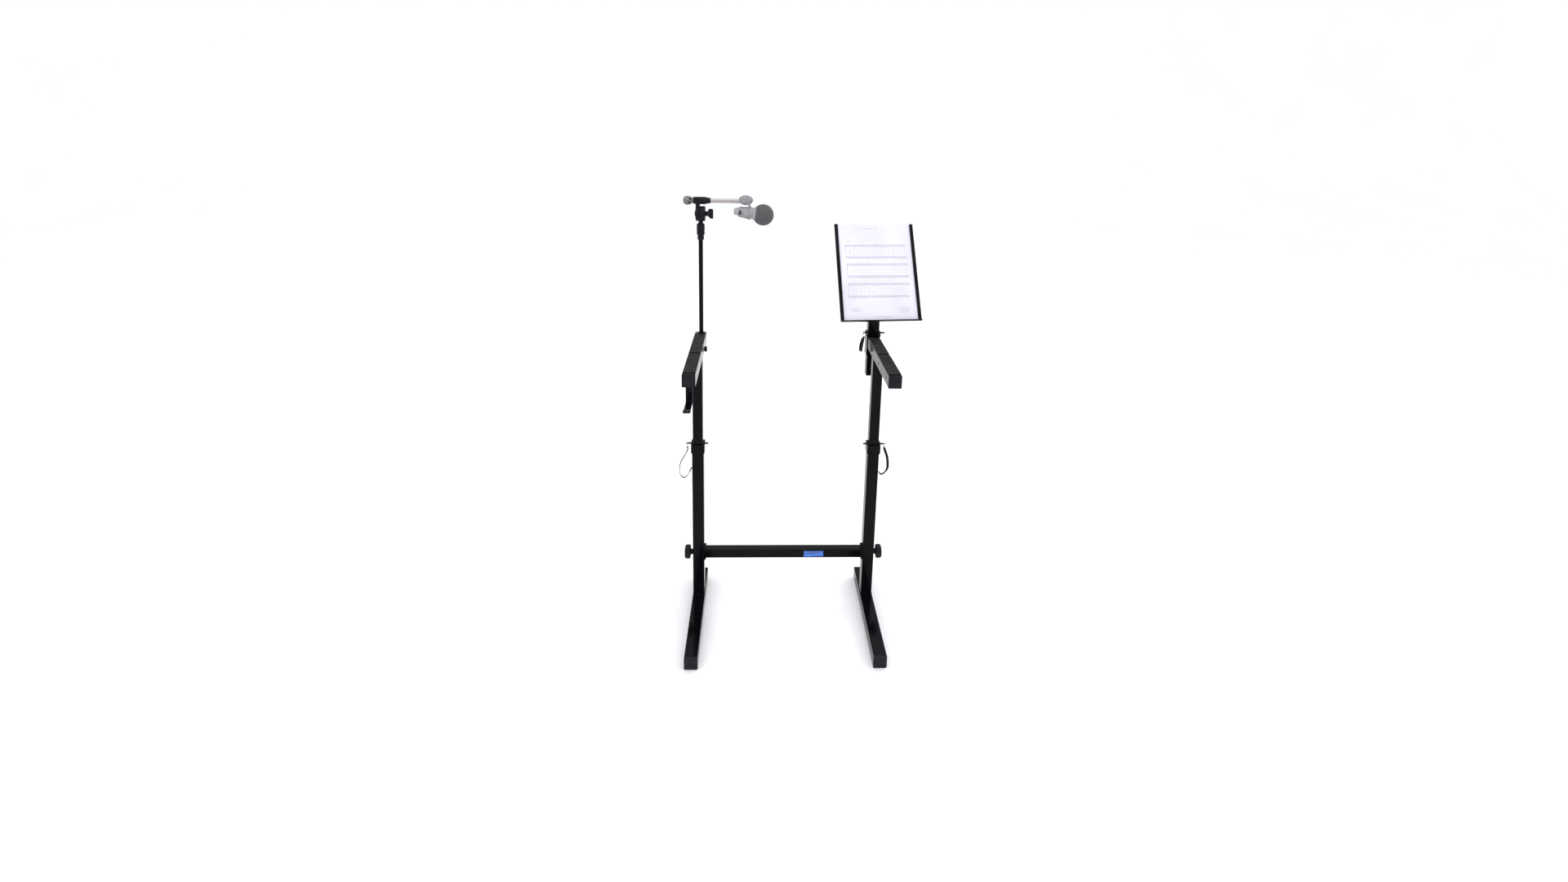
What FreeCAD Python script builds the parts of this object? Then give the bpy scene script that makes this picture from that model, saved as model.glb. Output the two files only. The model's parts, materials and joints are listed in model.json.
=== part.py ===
import FreeCAD, Part
import Sketcher
import math
import os
import re

# Table-style music stand. Millimetres, +X to the player's right, +Y away
# from the player, +Z up, origin on the floor midway between the uprights.

doc = FreeCAD.newDocument("music_stand")
Vector = FreeCAD.Vector
Rotation = FreeCAD.Rotation
Constraint = Sketcher.Constraint

sizes = {
    # frame
    "spacing": 530, "foot_side": 38, "foot_wall": 2, "foot_front": 280, "foot_back": 120,
    "glide_height": 2, "cap_plate": 3, "corner_radius": 2.5, "outer_side": 35, "outer_wall": 1.5,
    "outer_top": 545, "bar_side": 28, "bar_wall": 1.5, "bar_height": 182, "bar_flange": 5,
    "bar_flange_high": 40, "bar_flange_deep": 34, "label_left": 63, "label_long": 61, "label_high": 19,
    "label_thick": 0.4,
    # collars, risers and arms
    "collar_side": 41, "collar_low": 525, "collar_high": 551, "liner_low": 505, "cheek_high": 556,
    "cheek_deep": 22, "slide_gap": 0.05, "inner_side": 30, "inner_wall": 2, "inner_low": 340,
    "hole_pitch": 38, "hole_radius": 2.8, "arm_side": 35, "arm_wall": 1.5, "arm_low": 828,
    "arm_front": 260, "arm_back": 120, "arm_hole_pitch": 112, "hole_stagger": 3, "arm_hole_radius": 4,
    "pad_thick": 2, "pad_wide": 33, "pad_split": 94.5, "pad_gap": 15, "pad_front": 252, "left_pad_back": 88,
    "right_pad_back": 70,
    # lock pins and lanyards
    "pin_height": 549, "pin_radius": 2.6, "pin_clear": 0.1, "pin_reach": 29.3, "pin_long": 60,
    "eye_radius": 2.8, "eye_wire": 1.1,
    "ring_radius": 11, "ring_wire": 1, "strap_wide": 8, "strap_thick": 1.4,
    # crossbar knobs
    "knob_radius": 21, "knob_deep": 18, "hub_radius": 8, "hub_long": 8, "stud_radius": 4,
    # music holder
    "sleeve_side": 40, "sleeve_wall": 2, "sleeve_low": 804, "sleeve_high": 866, "holder_y": 100,
    "holder_collar_side": 43, "holder_collar_low": 863.2, "holder_collar_high": 873,
    "holder_cheek_high": 878, "holder_pin_height": 871, "post_side": 34, "post_wall": 1.5,
    "post_low": 740, "post_high": 975, "post_pitch": 30, "spigot_radius": 8, "neck_half": 8,
    "neck_radius": 11, "pivot_height": 1024, "pivot_radius": 4, "holder_turn": 5.6, "holder_lean": 28,
    "sheet_wide": 232, "sheet_high": 302, "sheet_thick": 0.4, "desk_wide": 246, "desk_high": 305,
    "desk_thick": 1.5, "desk_rise": 32, "desk_stand_off": 22, "desk_shift": 3.5, "rail_wide": 10,
    "rail_deep": 5, "lip_deep": 12, "lip_thick": 3,
    # microphone boom
    "pole_x": -262.5, "pole_y": 105, "pole_radius": 6.5, "rod_radius": 5, "pole_low": 836,
    "pole_high": 1180, "ring_low": 1152, "sleeve_start": 1167, "sleeve_end": 1201, "tilt_height": 1230,
    "disc_radius": 22, "boom_height": 1268.5, "boom_radius": 6.5, "boom_bore": 6.55, "head_radius": 11,
    "boom_left": -300, "boom_right": -135, "knuckle_x": -129.5, "knuckle_z": 1275, "clip_pivot_x": -119,
    "clip_pivot_z": 1263, "mic_x": -121, "mic_z": 1234, "mic_slope": 6.6, "ball_radius": 31.5,
}

dims = doc.addObject("Spreadsheet::Sheet", "dims")
for row, (alias, value) in enumerate(sizes.items(), start=1):
    dims.set(f"A{row}", alias)
    dims.set(f"B{row}", str(value))
    dims.setAlias(f"B{row}", alias)
doc.recompute()


def expression(text):
    return re.sub(r"[a-z][a-z_]+[a-z]", lambda word: "dims." + word.group(0), str(text))


def bind(item, prop, text):
    item.setExpression(prop, expression(text))


def place(item, at, along="z"):
    turns = {"x": Rotation(Vector(0, 1, 0), 90), "y": Rotation(Vector(1, 0, 0), -90), "z": Rotation()}
    item.Placement = FreeCAD.Placement(Vector(), turns[along])
    for axis, text in zip("xyz", at):
        bind(item, "Placement.Base." + axis, text)


def box(name, x, y, z):
    item = doc.addObject("Part::Box", name)
    for prop, (low, high) in zip(("Length", "Width", "Height"), (x, y, z)):
        bind(item, prop, f"({high}) - ({low})")
    place(item, (x[0], y[0], z[0]))
    return item


def rod(name, radius, along, start, length):
    item = doc.addObject("Part::Cylinder", name)
    bind(item, "Radius", radius)
    bind(item, "Height", length)
    place(item, start, along)
    return item


def cone(name, first, last, along, start, length):
    item = doc.addObject("Part::Cone", name)
    bind(item, "Radius1", first)
    bind(item, "Radius2", last)
    bind(item, "Height", length)
    place(item, start, along)
    return item


def loop(name, radius, wire, at, turn):
    item = doc.addObject("Part::Torus", name)
    bind(item, "Radius1", radius)
    bind(item, "Radius2", wire)
    place(item, at)
    item.Placement = FreeCAD.Placement(item.Placement.Base, turn)
    return item


def ball(name, radii, at):
    item = doc.addObject("Part::Ellipsoid", name)
    for prop, radius in zip(("Radius1", "Radius2", "Radius3"), radii):
        bind(item, prop, radius)
    item.Angle1 = -90
    place(item, at)
    return item


def cut(name, base, *tools):
    item = doc.addObject("Part::Cut", name)
    item.Base = base
    item.Tool = tools[0] if len(tools) == 1 else join(name + "_removed", *tools)
    return item


def join(name, *shapes):
    item = doc.addObject("Part::MultiFuse", name)
    item.Shapes = list(shapes)
    item.Refine = True
    return item


def group(name, *shapes):
    item = doc.addObject("Part::Compound", name)
    item.Links = list(shapes)
    return item


def soften(name, base, radius, choose):
    doc.recompute()
    edges = [(n, radius, radius) for n, edge in enumerate(base.Shape.Edges, start=1) if choose(edge)]
    item = doc.addObject("Part::Fillet", name)
    item.Base = base
    item.Edges = edges
    return item


def runs_along(direction):
    def choose(edge):
        if edge.Curve.TypeId != "Part::GeomLine":
            return False
        return abs(edge.tangentAt(edge.FirstParameter).dot(direction)) > 0.999
    return choose


def all_edges(edge):
    return True


def origin_plane(body, role):
    return next(item for item in body.Origin.OriginFeatures if item.Role == role)


def new_sketch(body, role, name):
    sketch = body.newObject("Sketcher::SketchObject", name)
    sketch.AttachmentSupport = [(origin_plane(body, role), "")]
    sketch.MapMode = "FlatFace"
    return sketch


def draw_square(sketch, side, tag):
    first = sketch.GeometryCount
    corners = [Vector(-10, -10, 0), Vector(10, -10, 0), Vector(10, 10, 0), Vector(-10, 10, 0)]
    for start, end in zip(corners, corners[1:] + corners[:1]):
        sketch.addGeometry(Part.LineSegment(start, end))
    for step in range(4):
        sketch.addConstraint(joined_ends(first + step, first + (step + 1) % 4))
    sketch.addConstraint(Constraint("Horizontal", first))
    sketch.addConstraint(Constraint("Horizontal", first + 2))
    sketch.addConstraint(Constraint("Vertical", first + 1))
    sketch.addConstraint(Constraint("Vertical", first + 3))
    sketch.addConstraint(Constraint("Symmetric", first, 1, first + 2, 1, -1, 1))
    for geometry, kind in ((first, "DistanceX"), (first + 1, "DistanceY")):
        number = sketch.addConstraint(Constraint(kind, geometry, 1, geometry, 2, 20))
        label = f"{tag}_{kind[-1].lower()}"
        sketch.renameConstraint(number, label)
        bind(sketch, "Constraints." + label, side)


def joined_ends(one, other):
    return Constraint("Coincident", one, 2, other, 1)


def square_tube(name, side, wall, start, length, along):
    body = doc.addObject("PartDesign::Body", name)
    section = new_sketch(body, "XY_Plane", name + "_section")
    draw_square(section, side, "outside")
    draw_square(section, f"{side} - 2 * {wall}", "inside")
    pad = body.newObject("PartDesign::Pad", name + "_run")
    pad.Profile = section
    bind(pad, "Length", length)
    body.Tip = pad
    doc.recompute()
    half = pad.Shape.BoundBox.XMax
    corners = []
    for number, edge in enumerate(pad.Shape.Edges, start=1):
        middle = edge.CenterOfMass
        if abs(abs(middle.x) - half) < 1e-4 and abs(abs(middle.y) - half) < 1e-4:
            corners.append(f"Edge{number}")
    rounding = body.newObject("PartDesign::Fillet", name + "_corners")
    rounding.Base = (pad, corners)
    bind(rounding, "Radius", "corner_radius")
    body.Tip = rounding
    place(body, start, along)
    doc.recompute()
    return body


def hole_row(body, radius, first, pitch, count):
    name = body.Name
    before = body.Shape.Volume
    sketch = new_sketch(body, "YZ_Plane", name + "_hole")
    circle = sketch.addGeometry(Part.Circle(Vector(0, 20, 0), Vector(0, 0, 1), 3))
    sketch.addConstraint(Constraint("PointOnObject", circle, 3, -2))
    for kind, arguments, text in (
        ("Radius", (circle, 3), radius),
        ("DistanceY", (-1, 1, circle, 3, 20), first),
    ):
        number = sketch.addConstraint(Constraint(kind, *arguments))
        sketch.renameConstraint(number, kind.lower())
        bind(sketch, "Constraints." + kind.lower(), text)
    pocket = body.newObject("PartDesign::Pocket", name + "_hole_cut")
    pocket.Profile = sketch
    pocket.Type = "ThroughAll"
    pocket.Midplane = True
    body.Tip = pocket
    doc.recompute()
    pattern = body.newObject("PartDesign::LinearPattern", name + "_hole_row")
    pattern.Originals = [pocket]
    pattern.Direction = (sketch, ["V_Axis"])
    bind(pattern, "Length", f"{pitch} * {count - 1}")
    pattern.Occurrences = count
    body.Tip = pattern
    doc.recompute()
    if body.Shape.Volume > before - 1:
        raise RuntimeError(name + " holes cut nothing")


def turned(name, points, at, along="x"):
    body = doc.addObject("PartDesign::Body", name)
    sketch = new_sketch(body, "XZ_Plane", name + "_profile")
    corners = [Vector(radius, height, 0) for height, radius in points]
    for start, end in zip(corners, corners[1:] + corners[:1]):
        sketch.addGeometry(Part.LineSegment(start, end))
    for step in range(len(corners)):
        sketch.addConstraint(joined_ends(step, (step + 1) % len(corners)))
        for kind, value, line in (("DistanceX", corners[step].x, -2), ("DistanceY", corners[step].y, -1)):
            if value == 0:
                sketch.addConstraint(Constraint("PointOnObject", step, 1, line))
            else:
                sketch.addConstraint(Constraint(kind, -1, 1, step, 1, value))
    spin = body.newObject("PartDesign::Revolution", name + "_turned")
    spin.Profile = sketch
    spin.ReferenceAxis = (sketch, ["V_Axis"])
    spin.Angle = 360
    body.Tip = spin
    place(body, at, along)
    return body


def rounded_path(points):
    edges = []
    trims = [0.0]
    directions = [(b - a).normalize() for a, b in zip(points, points[1:])]
    lengths = [(b - a).Length for a, b in zip(points, points[1:])]
    for before, after in zip(lengths, lengths[1:]):
        trims.append(0.45 * min(before, after))
    trims.append(0.0)
    radii = []
    previous = points[0]
    for number in range(1, len(points) - 1):
        arriving, leaving = directions[number - 1], directions[number]
        corner, trim = points[number], trims[number]
        first = corner - arriving * trim
        last = corner + leaving * trim
        bend = arriving.getAngle(leaving) / 2
        radius = trim / math.tan(bend)
        radii.append(radius)
        inward = (leaving - arriving).normalize()
        middle = corner + inward * (radius / math.cos(bend) - radius)
        edges.append(Part.LineSegment(previous, first).toShape())
        edges.append(Part.Arc(first, middle, last).toShape())
        previous = last
    edges.append(Part.LineSegment(previous, points[-1]).toShape())
    return Part.Wire(edges), radii


def strap(name, points, across):
    wide, thick = dims.strap_wide, dims.strap_thick
    corners = [Vector(*point) for point in points]
    wire, radii = rounded_path(corners)
    ahead = (corners[1] - corners[0]).normalize()
    level = (across - ahead * across.dot(ahead)).normalize()
    flat = ahead.cross(level)
    outline = []
    for along, up in ((-1, -1), (1, -1), (1, 1), (-1, 1), (-1, -1)):
        outline.append(corners[0] + level * (along * wide / 2) + flat * (up * thick / 2))
    shell = Part.BRepOffsetAPI.MakePipeShell(wire)
    shell.setBiNormalMode(across)
    shell.add(Part.makePolygon(outline))
    shell.build()
    shell.makeSolid()
    item = doc.addObject("Part::Feature", name)
    item.Shape = shell.shape()
    expected = wide * thick * wire.Length
    print(name, "length", round(wire.Length, 1), "radii", [round(radius, 1) for radius in radii],
          "volume", round(item.Shape.Volume, 1), "section x length", round(expected, 1))
    if abs(item.Shape.Volume / expected - 1) > 0.06:
        raise RuntimeError(name + " swept volume is off")
    return item


def outward(sign, near, far):
    return (near, far) if sign > 0 else (f"-({far})", f"-({near})")


def around(middle, half):
    return (f"{middle} - {half}", f"{middle} + {half}")


def end_cap(name, middle, height, side, wall, outside, inward, deep=15):
    along = Vector(0, 1, 0)
    plate_y = (outside, f"{outside} + cap_plate") if inward > 0 else (f"{outside} - cap_plate", outside)
    plug_y = (f"{outside} + cap_plate", f"{outside} + {deep}")
    if inward < 0:
        plug_y = (f"{outside} - {deep}", f"{outside} - cap_plate")
    plate = box(name + "_plate", around(middle, f"{side} / 2"), plate_y, around(height, f"{side} / 2"))
    plate = soften(name + "_face", plate, 2.5, runs_along(along))
    inside = f"({side} / 2 - {wall})"
    plug = box(name + "_plug", around(middle, inside), plug_y, around(height, inside))
    return join(name, plate, plug)


def collar(name, x, y, tube, skirt, low, top, high, liner_low, cheek_high, pin_z):
    outside, inside = tube
    skirt_box = box(name + "_block", around(x, f"{skirt} / 2"), around(y, f"{skirt} / 2"), (low, high))
    skirt_box = soften(name + "_skirt", skirt_box, 3, runs_along(Vector(0, 0, 1)))
    pocket = box(name + "_pocket", around(x, f"{outside} / 2"), around(y, f"{outside} / 2"),
                 (f"{low} - 1", top))
    cheeks = box(name + "_cheeks", around(x, f"{skirt} / 2"), around(y, "cheek_deep / 2"),
                 (f"{high} - 1", cheek_high))
    cheek_gap = box(name + "_gap", around(x, f"{outside} / 2"), around(y, "cheek_deep"),
                    (high, f"{cheek_high} + 1"))
    liner = box(name + "_liner", around(x, f"{inside[0]}"), around(y, f"{inside[0]}"),
                (liner_low, f"{top} + 1"))
    bore = box(name + "_bore", around(x, f"{inside[1]}"), around(y, f"{inside[1]}"),
               (f"{liner_low} - 1", f"{cheek_high} + 1"))
    seat = rod(name + "_seat", "pin_radius + pin_clear", "x",
               (f"{x} - {skirt}", y, f"{pin_z} + 0.05"), f"2 * {skirt}")
    slot = box(name + "_slot", around(x, skirt), around(y, "(pin_radius + pin_clear)"),
               (f"{pin_z} + 0.05", f"{cheek_high} + 1"))
    outer = cut(name + "_outer", join(name + "_raised", skirt_box, cheeks), pocket, cheek_gap)
    return cut(name, join(name + "_lined", outer, liner), bore, seat, slot)


def lock_pin(name, sign, x, y, z, reach, length, ring):
    span = outward(sign, f"{x} + {reach} - {length}", f"{x} + {reach}")
    shank = rod(name + "_shank", "pin_radius", "x", (span[0], y, z), length)
    eye_x = f"{x} + {reach} + eye_radius" if sign > 0 else f"-({x} + {reach} + eye_radius)"
    eye_turn = Rotation() if sign > 0 else Rotation(Vector(1, 0, 0), 90)
    eye = loop(name + "_eye", "eye_radius", "eye_wire", (eye_x, y, z), eye_turn)
    hung_at = (eye_x, y, f"{z} - eye_radius + eye_wire + ring_wire + 0.1 - {ring}")
    if sign > 0:
        hung_at = (f"{eye_x} + 0.433 * {ring}", f"{y} + 0.75 * {ring}", f"{z} - 0.5 * {ring}")
    tilt = Rotation(Vector(0, 0, 1), Vector(0.866 * sign, -0.5, 0))
    split_ring = loop(name + "_split_ring", ring, "ring_wire", hung_at, tilt)
    return group(name, join(name + "_forged", shank, eye), split_ring)


made = {}


def keep(item):
    made[item.Name] = item
    return item


# frame, risers, arms and lock pins on each side

caps = []
glides = []
flanges = []
anchors = []
for side, sign, anchor_z in (("left", -1, 470), ("right", 1, 456)):
    middle = f"{sign} * spacing / 2"
    face = "(spacing / 2 + outer_side / 2)"
    foot_z = "glide_height + foot_side / 2"
    keep(square_tube(side + "_foot", "foot_side", "foot_wall",
                     (middle, "cap_plate - foot_front", foot_z),
                     "foot_front + foot_back - 2 * cap_plate", "y"))
    caps.append(end_cap(side + "_front_cap", middle, foot_z, "foot_side", "foot_wall", "-foot_front", 1))
    caps.append(end_cap(side + "_rear_cap", middle, foot_z, "foot_side", "foot_wall", "foot_back", -1))
    glide_spans = {"front": ("5 - foot_front", "45 - foot_front"),
                   "rear": ("foot_back - 45", "foot_back - 5")}
    for end, y in glide_spans.items():
        glides.append(box(f"{side}_{end}_glide", around(middle, 15), y, (0, "glide_height")))

    upright = square_tube(side + "_upright_tube", "outer_side", "outer_wall",
                          (middle, 0, "glide_height + foot_side"),
                          "outer_top - glide_height - foot_side", "z")
    bolt_hole = rod(side + "_upright_bore", "stud_radius + pin_clear", "x",
                    (f"{middle} - outer_side", 0, "bar_height"), "2 * outer_side")
    keep(cut(side + "_upright", upright, bolt_hole))
    keep(collar(side + "_collar", middle, 0,
                ("outer_side", ("(outer_side / 2 - outer_wall)", "(inner_side / 2 + slide_gap)")),
                "collar_side", "collar_low", "outer_top", "collar_high", "liner_low", "cheek_high",
                "pin_height"))
    tab = box(side + "_strap_tab", outward(sign, face, f"{face} + 1.2"), (-5, 5),
              (f"{anchor_z} - 7", f"{anchor_z} + 7"))
    rivet_x = outward(sign, f"{face} + 1", f"{face} + 2.4")
    rivet = rod(side + "_strap_rivet", 2.5, "x", (rivet_x[0], 0, anchor_z - 3), 1.4)
    anchors.append(join(side + "_strap_anchor", tab, rivet))

    flange_x = outward(sign, "spacing / 2 - outer_side / 2 - bar_flange", "spacing / 2 - outer_side / 2")
    plate = box(side + "_flange_plate", flange_x, around(0, "bar_flange_deep / 2"),
                around("bar_height", "bar_flange_high / 2"))
    plate = soften(side + "_flange_face", plate, 4, runs_along(Vector(1, 0, 0)))
    nut_x = outward(sign, "spacing / 2 - outer_side / 2 - 15", "spacing / 2 - outer_side / 2 - bar_flange")
    nut = rod(side + "_flange_nut", 8, "x", (nut_x[0], 0, "bar_height"), "15 - bar_flange")
    thread = rod(side + "_flange_thread", "stud_radius + slide_gap", "x",
                 (f"{nut_x[0]} - 20", 0, "bar_height"), 60)
    flanges.append(cut(side + "_flange", join(side + "_flange_body", plate, nut), thread))

    hub_x = outward(sign, f"{face} + slide_gap", f"{face} + hub_long")
    head_x = outward(sign, f"{face} + hub_long", f"{face} + hub_long + knob_deep")
    stud_x = outward(sign, "spacing / 2 - outer_side / 2 - 15", f"{face} + hub_long + 8")
    head = rod(side + "_knob_disc", "knob_radius", "x", (head_x[0], 0, "bar_height"), "knob_deep")
    head = soften(side + "_knob_head", head, 3.5, all_edges)
    hub = rod(side + "_knob_hub", "hub_radius", "x", (hub_x[0], 0, "bar_height"), "hub_long - slide_gap")
    socket = rod(side + "_knob_socket", "stud_radius", "x", (stud_x[0], 0, "bar_height"),
                 f"{stud_x[1]} - ({stud_x[0]})")
    grip = cut(side + "_knob_grip", join(side + "_knob_body", head, hub), socket)
    stud = rod(side + "_knob_stud", "stud_radius", "x", (stud_x[0], 0, "bar_height"),
               f"{stud_x[1]} - ({stud_x[0]})")
    keep(group(side + "_crossbar_knob", grip, stud))

    riser = square_tube(side + "_riser_tube", "inner_side", "inner_wall", (middle, 0, "inner_low"),
                        "arm_low - inner_low", "z")
    hole_row(riser, "hole_radius", "pin_height - 3 * hole_pitch - inner_low", "hole_pitch", 8)
    keep(riser)
    slider = box(side + "_guide_block", around(middle, "(outer_side / 2 - outer_wall - slide_gap)"),
                 around(0, "(outer_side / 2 - outer_wall - slide_gap)"), ("inner_low - 15", "inner_low"))
    plug = box(side + "_guide_plug", around(middle, "(inner_side / 2 - inner_wall)"),
               around(0, "(inner_side / 2 - inner_wall)"), ("inner_low", "inner_low + 15"))
    keep(join(side + "_riser_guide", slider, plug))

    arm_end = "arm_back - cap_plate" if sign < 0 else "holder_y - sleeve_side / 2"
    arm_z = "arm_low + arm_side / 2"
    arm = square_tube("left_arm_tube" if sign < 0 else "right_arm", "arm_side", "arm_wall",
                      (middle, "cap_plate - arm_front", arm_z), f"{arm_end} + arm_front - cap_plate", "y")
    first_hole = "arm_front - cap_plate - 2 * arm_hole_pitch" + (" + hole_stagger" if sign < 0 else "")
    hole_row(arm, "arm_hole_radius", first_hole, "arm_hole_pitch", 3)
    arm_cap = end_cap(side + "_arm_front_cap", middle, arm_z, "arm_side", "arm_wall", "-arm_front", 1)
    pads = []
    back = "left_pad_back" if sign < 0 else "right_pad_back"
    pad_spans = {"front": ("-pad_front", "-pad_split - pad_gap / 2"),
                 "rear": ("pad_gap / 2 - pad_split", back)}
    for end, y in pad_spans.items():
        pad = box(f"{side}_{end}_pad_block", around(middle, "pad_wide / 2"), y,
                  ("arm_low + arm_side", "arm_low + arm_side + pad_thick"))
        pads.append(soften(f"{side}_{end}_pad", pad, 0.6, runs_along(Vector(0, 1, 0))))
    keep(group(side + "_arm_pads", *pads))
    keep(lock_pin(side + "_lock_pin", sign, "spacing / 2", 0, "pin_height", "pin_reach", "pin_long",
                  "ring_radius" if sign > 0 else "(ring_radius - 4)"))

    if sign < 0:
        socket_hole = rod("left_arm_socket_hole", 8.55, "z",
                          ("pole_x", "pole_y", "arm_low + arm_side - 5"), 10)
        screws = [rod(f"left_arm_screw_hole_{n}", 2, "z", (middle, y, "arm_low - 5"), 10)
                  for n, y in enumerate((-220, -236), start=1)]
        keep(cut("left_arm", arm, socket_hole, *screws))
        rear_cap = end_cap("left_arm_rear_cap", middle, arm_z, "arm_side", "arm_wall", "arm_back", -1, 6)
        keep(group("left_arm_caps", arm_cap, rear_cap))
    else:
        keep(arm)
        keep(arm_cap)

keep(group("foot_caps", *caps))
keep(group("foot_glides", *glides))
keep(group("crossbar_flanges", *flanges))
keep(group("strap_anchors", *anchors))

bar_end = "(spacing / 2 - outer_side / 2 - bar_flange)"
keep(square_tube("crossbar", "bar_side", "bar_wall", (f"-{bar_end}", 0, "bar_height"), f"2 * {bar_end}", "x"))
keep(box("crossbar_label", ("label_left", "label_left + label_long"),
         ("-bar_side / 2 - label_thick", "-bar_side / 2"), around("bar_height", "label_high / 2")))

# headphone hook under the left arm

hook = doc.addObject("PartDesign::Body", "hook_strip")
hook_side = new_sketch(hook, "YZ_Plane", "hook_outline")
bends = [(-212, 828), (-247, 828), (-247, 783.5), (-314, 783.5), (-314, 788), (-316.5, 788),
         (-316.5, 781), (-244.5, 781), (-244.5, 825.5), (-212, 825.5)]
for start, end in zip(bends, bends[1:] + bends[:1]):
    hook_side.addGeometry(Part.LineSegment(Vector(*start, 0), Vector(*end, 0)))
for step, (across, high) in enumerate(bends):
    hook_side.addConstraint(joined_ends(step, (step + 1) % len(bends)))
    hook_side.addConstraint(Constraint("DistanceX", -1, 1, step, 1, across))
    hook_side.addConstraint(Constraint("DistanceY", -1, 1, step, 1, high))
hook_pad = hook.newObject("PartDesign::Pad", "hook_width")
hook_pad.Profile = hook_side
hook_pad.Length = 18
hook_pad.Midplane = True
hook.Tip = hook_pad
place(hook, ("-spacing / 2", 0, 0))
holes = []
screws = []
for number, y in enumerate((-220, -236), start=1):
    at = ("-spacing / 2", y, "arm_low - 4.2")
    holes.append(rod(f"hook_hole_{number}", 2, "z", at, 10))
    shank = rod(f"hook_screw_shank_{number}", 2, "z", at, 8)
    head = rod(f"hook_screw_head_{number}", 3.6, "z", at, 1.7)
    screws.append(join(f"hook_screw_{number}", shank, head))
keep(cut("headphone_hook", hook, *holes))
keep(group("hook_screws", *screws))

# thumb knob in the left arm's rear hole

inner_face = "(spacing / 2 - arm_side / 2)"
knob_z = "arm_low + arm_side / 2"
washer_disc = rod("thumb_washer_disc", 9, "x", (f"-{inner_face} + 0.05", "hole_stagger", knob_z), 1.5)
washer_hole = rod("thumb_washer_hole", "arm_hole_radius", "x",
                  (f"-{inner_face} - 1", "hole_stagger", knob_z), 5)
washer = cut("thumb_washer", washer_disc, washer_hole)
thumb_head = rod("thumb_head_disc", 8, "x", (f"-{inner_face} + 3", "hole_stagger", knob_z), 7)
thumb_head = soften("thumb_head", thumb_head, 1.5, all_edges)
thumb_neck = rod("thumb_neck", 5.5, "x", (f"-{inner_face} + 1.65", "hole_stagger", knob_z), 2)
thumb_stud = rod("thumb_stud", "arm_hole_radius - pin_clear", "x",
                 (f"-{inner_face} - 12", "hole_stagger", knob_z), 16)
keep(group("left_thumb_knob", join("thumb_screw", thumb_head, thumb_neck, thumb_stud), washer))

# music holder: sleeve, post, yoke and desk

post_x = "spacing / 2"
keep(square_tube("holder_sleeve", "sleeve_side", "sleeve_wall", (post_x, "holder_y", "sleeve_low"),
                 "sleeve_high - sleeve_low", "z"))
keep(collar("holder_collar", post_x, "holder_y",
            ("sleeve_side", ("(sleeve_side / 2 - sleeve_wall)", "(post_side / 2 + slide_gap)")),
            "holder_collar_side", "holder_collar_low", "sleeve_high", "holder_collar_high",
            "sleeve_high - 26", "holder_cheek_high", "holder_pin_height"))
post = square_tube("holder_post", "post_side", "post_wall", (post_x, "holder_y", "post_low"),
                   "post_high - post_low", "z")
hole_row(post, "hole_radius", "holder_pin_height - 4 * post_pitch - post_low", "post_pitch", 5)
keep(post)
plug_half = "(post_side / 2 - post_wall)"
foot_plate = box("post_foot_block", around(post_x, "post_side / 2"), around("holder_y", "post_side / 2"),
                 ("post_low - 3", "post_low"))
foot_plate = soften("post_foot_plate", foot_plate, 2.5, runs_along(Vector(0, 0, 1)))
foot_plug = box("post_foot_plug", around(post_x, plug_half), around("holder_y", plug_half),
                ("post_low", "post_low + 5"))
top_plate = box("post_top_block", around(post_x, "post_side / 2"), around("holder_y", "post_side / 2"),
                ("post_high", "post_high + 3"))
top_plate = soften("post_top_plate", top_plate, 2.5, runs_along(Vector(0, 0, 1)))
top_plug = box("post_top_plug", around(post_x, plug_half), around("holder_y", plug_half),
               ("post_high - 20", "post_high"))
top_bore = rod("post_top_bore", "spigot_radius + slide_gap", "z", (post_x, "holder_y", "post_high - 25"), 40)
keep(group("holder_post_plugs", join("post_foot_cap", foot_plate, foot_plug),
           cut("post_top_cap", join("post_top_body", top_plate, top_plug), top_bore)))

keep(lock_pin("holder_lock_pin", -1, "-spacing / 2", "holder_y", "holder_pin_height", 24, 61,
              "(ring_radius - 4)"))

spigot = rod("yoke_spigot", "spigot_radius", "z", (0, 0, "post_high - 19"), 24)
yoke_flange = rod("yoke_flange", 15, "z", (0, 0, "post_high + 3.05"), 4)
tongue = box("yoke_tongue", around(0, "neck_half"), around(0, "neck_radius"),
             ("post_high + 5", "pivot_height"))
crown = rod("yoke_crown", "neck_radius", "x", ("-neck_half", 0, "pivot_height"), "2 * neck_half")
pivot_bore = rod("yoke_bore", "pivot_radius + slide_gap", "x", (-20, 0, "pivot_height"), 40)
yoke = keep(cut("holder_yoke", join("yoke_body", spigot, yoke_flange, tongue, crown), pivot_bore))
turn = dims.holder_turn
yoke.Placement = FreeCAD.Placement(Vector(dims.spacing / 2, dims.holder_y, 0), Rotation(turn, 0, 0))

desk_turn = Rotation(turn, 0, 90 - dims.holder_lean)
offset = desk_turn.multVec(Vector(dims.desk_shift, dims.desk_rise, dims.desk_stand_off))
desk_frame = FreeCAD.Placement(Vector(dims.spacing / 2, dims.holder_y, dims.pivot_height) + offset, desk_turn)

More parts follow.
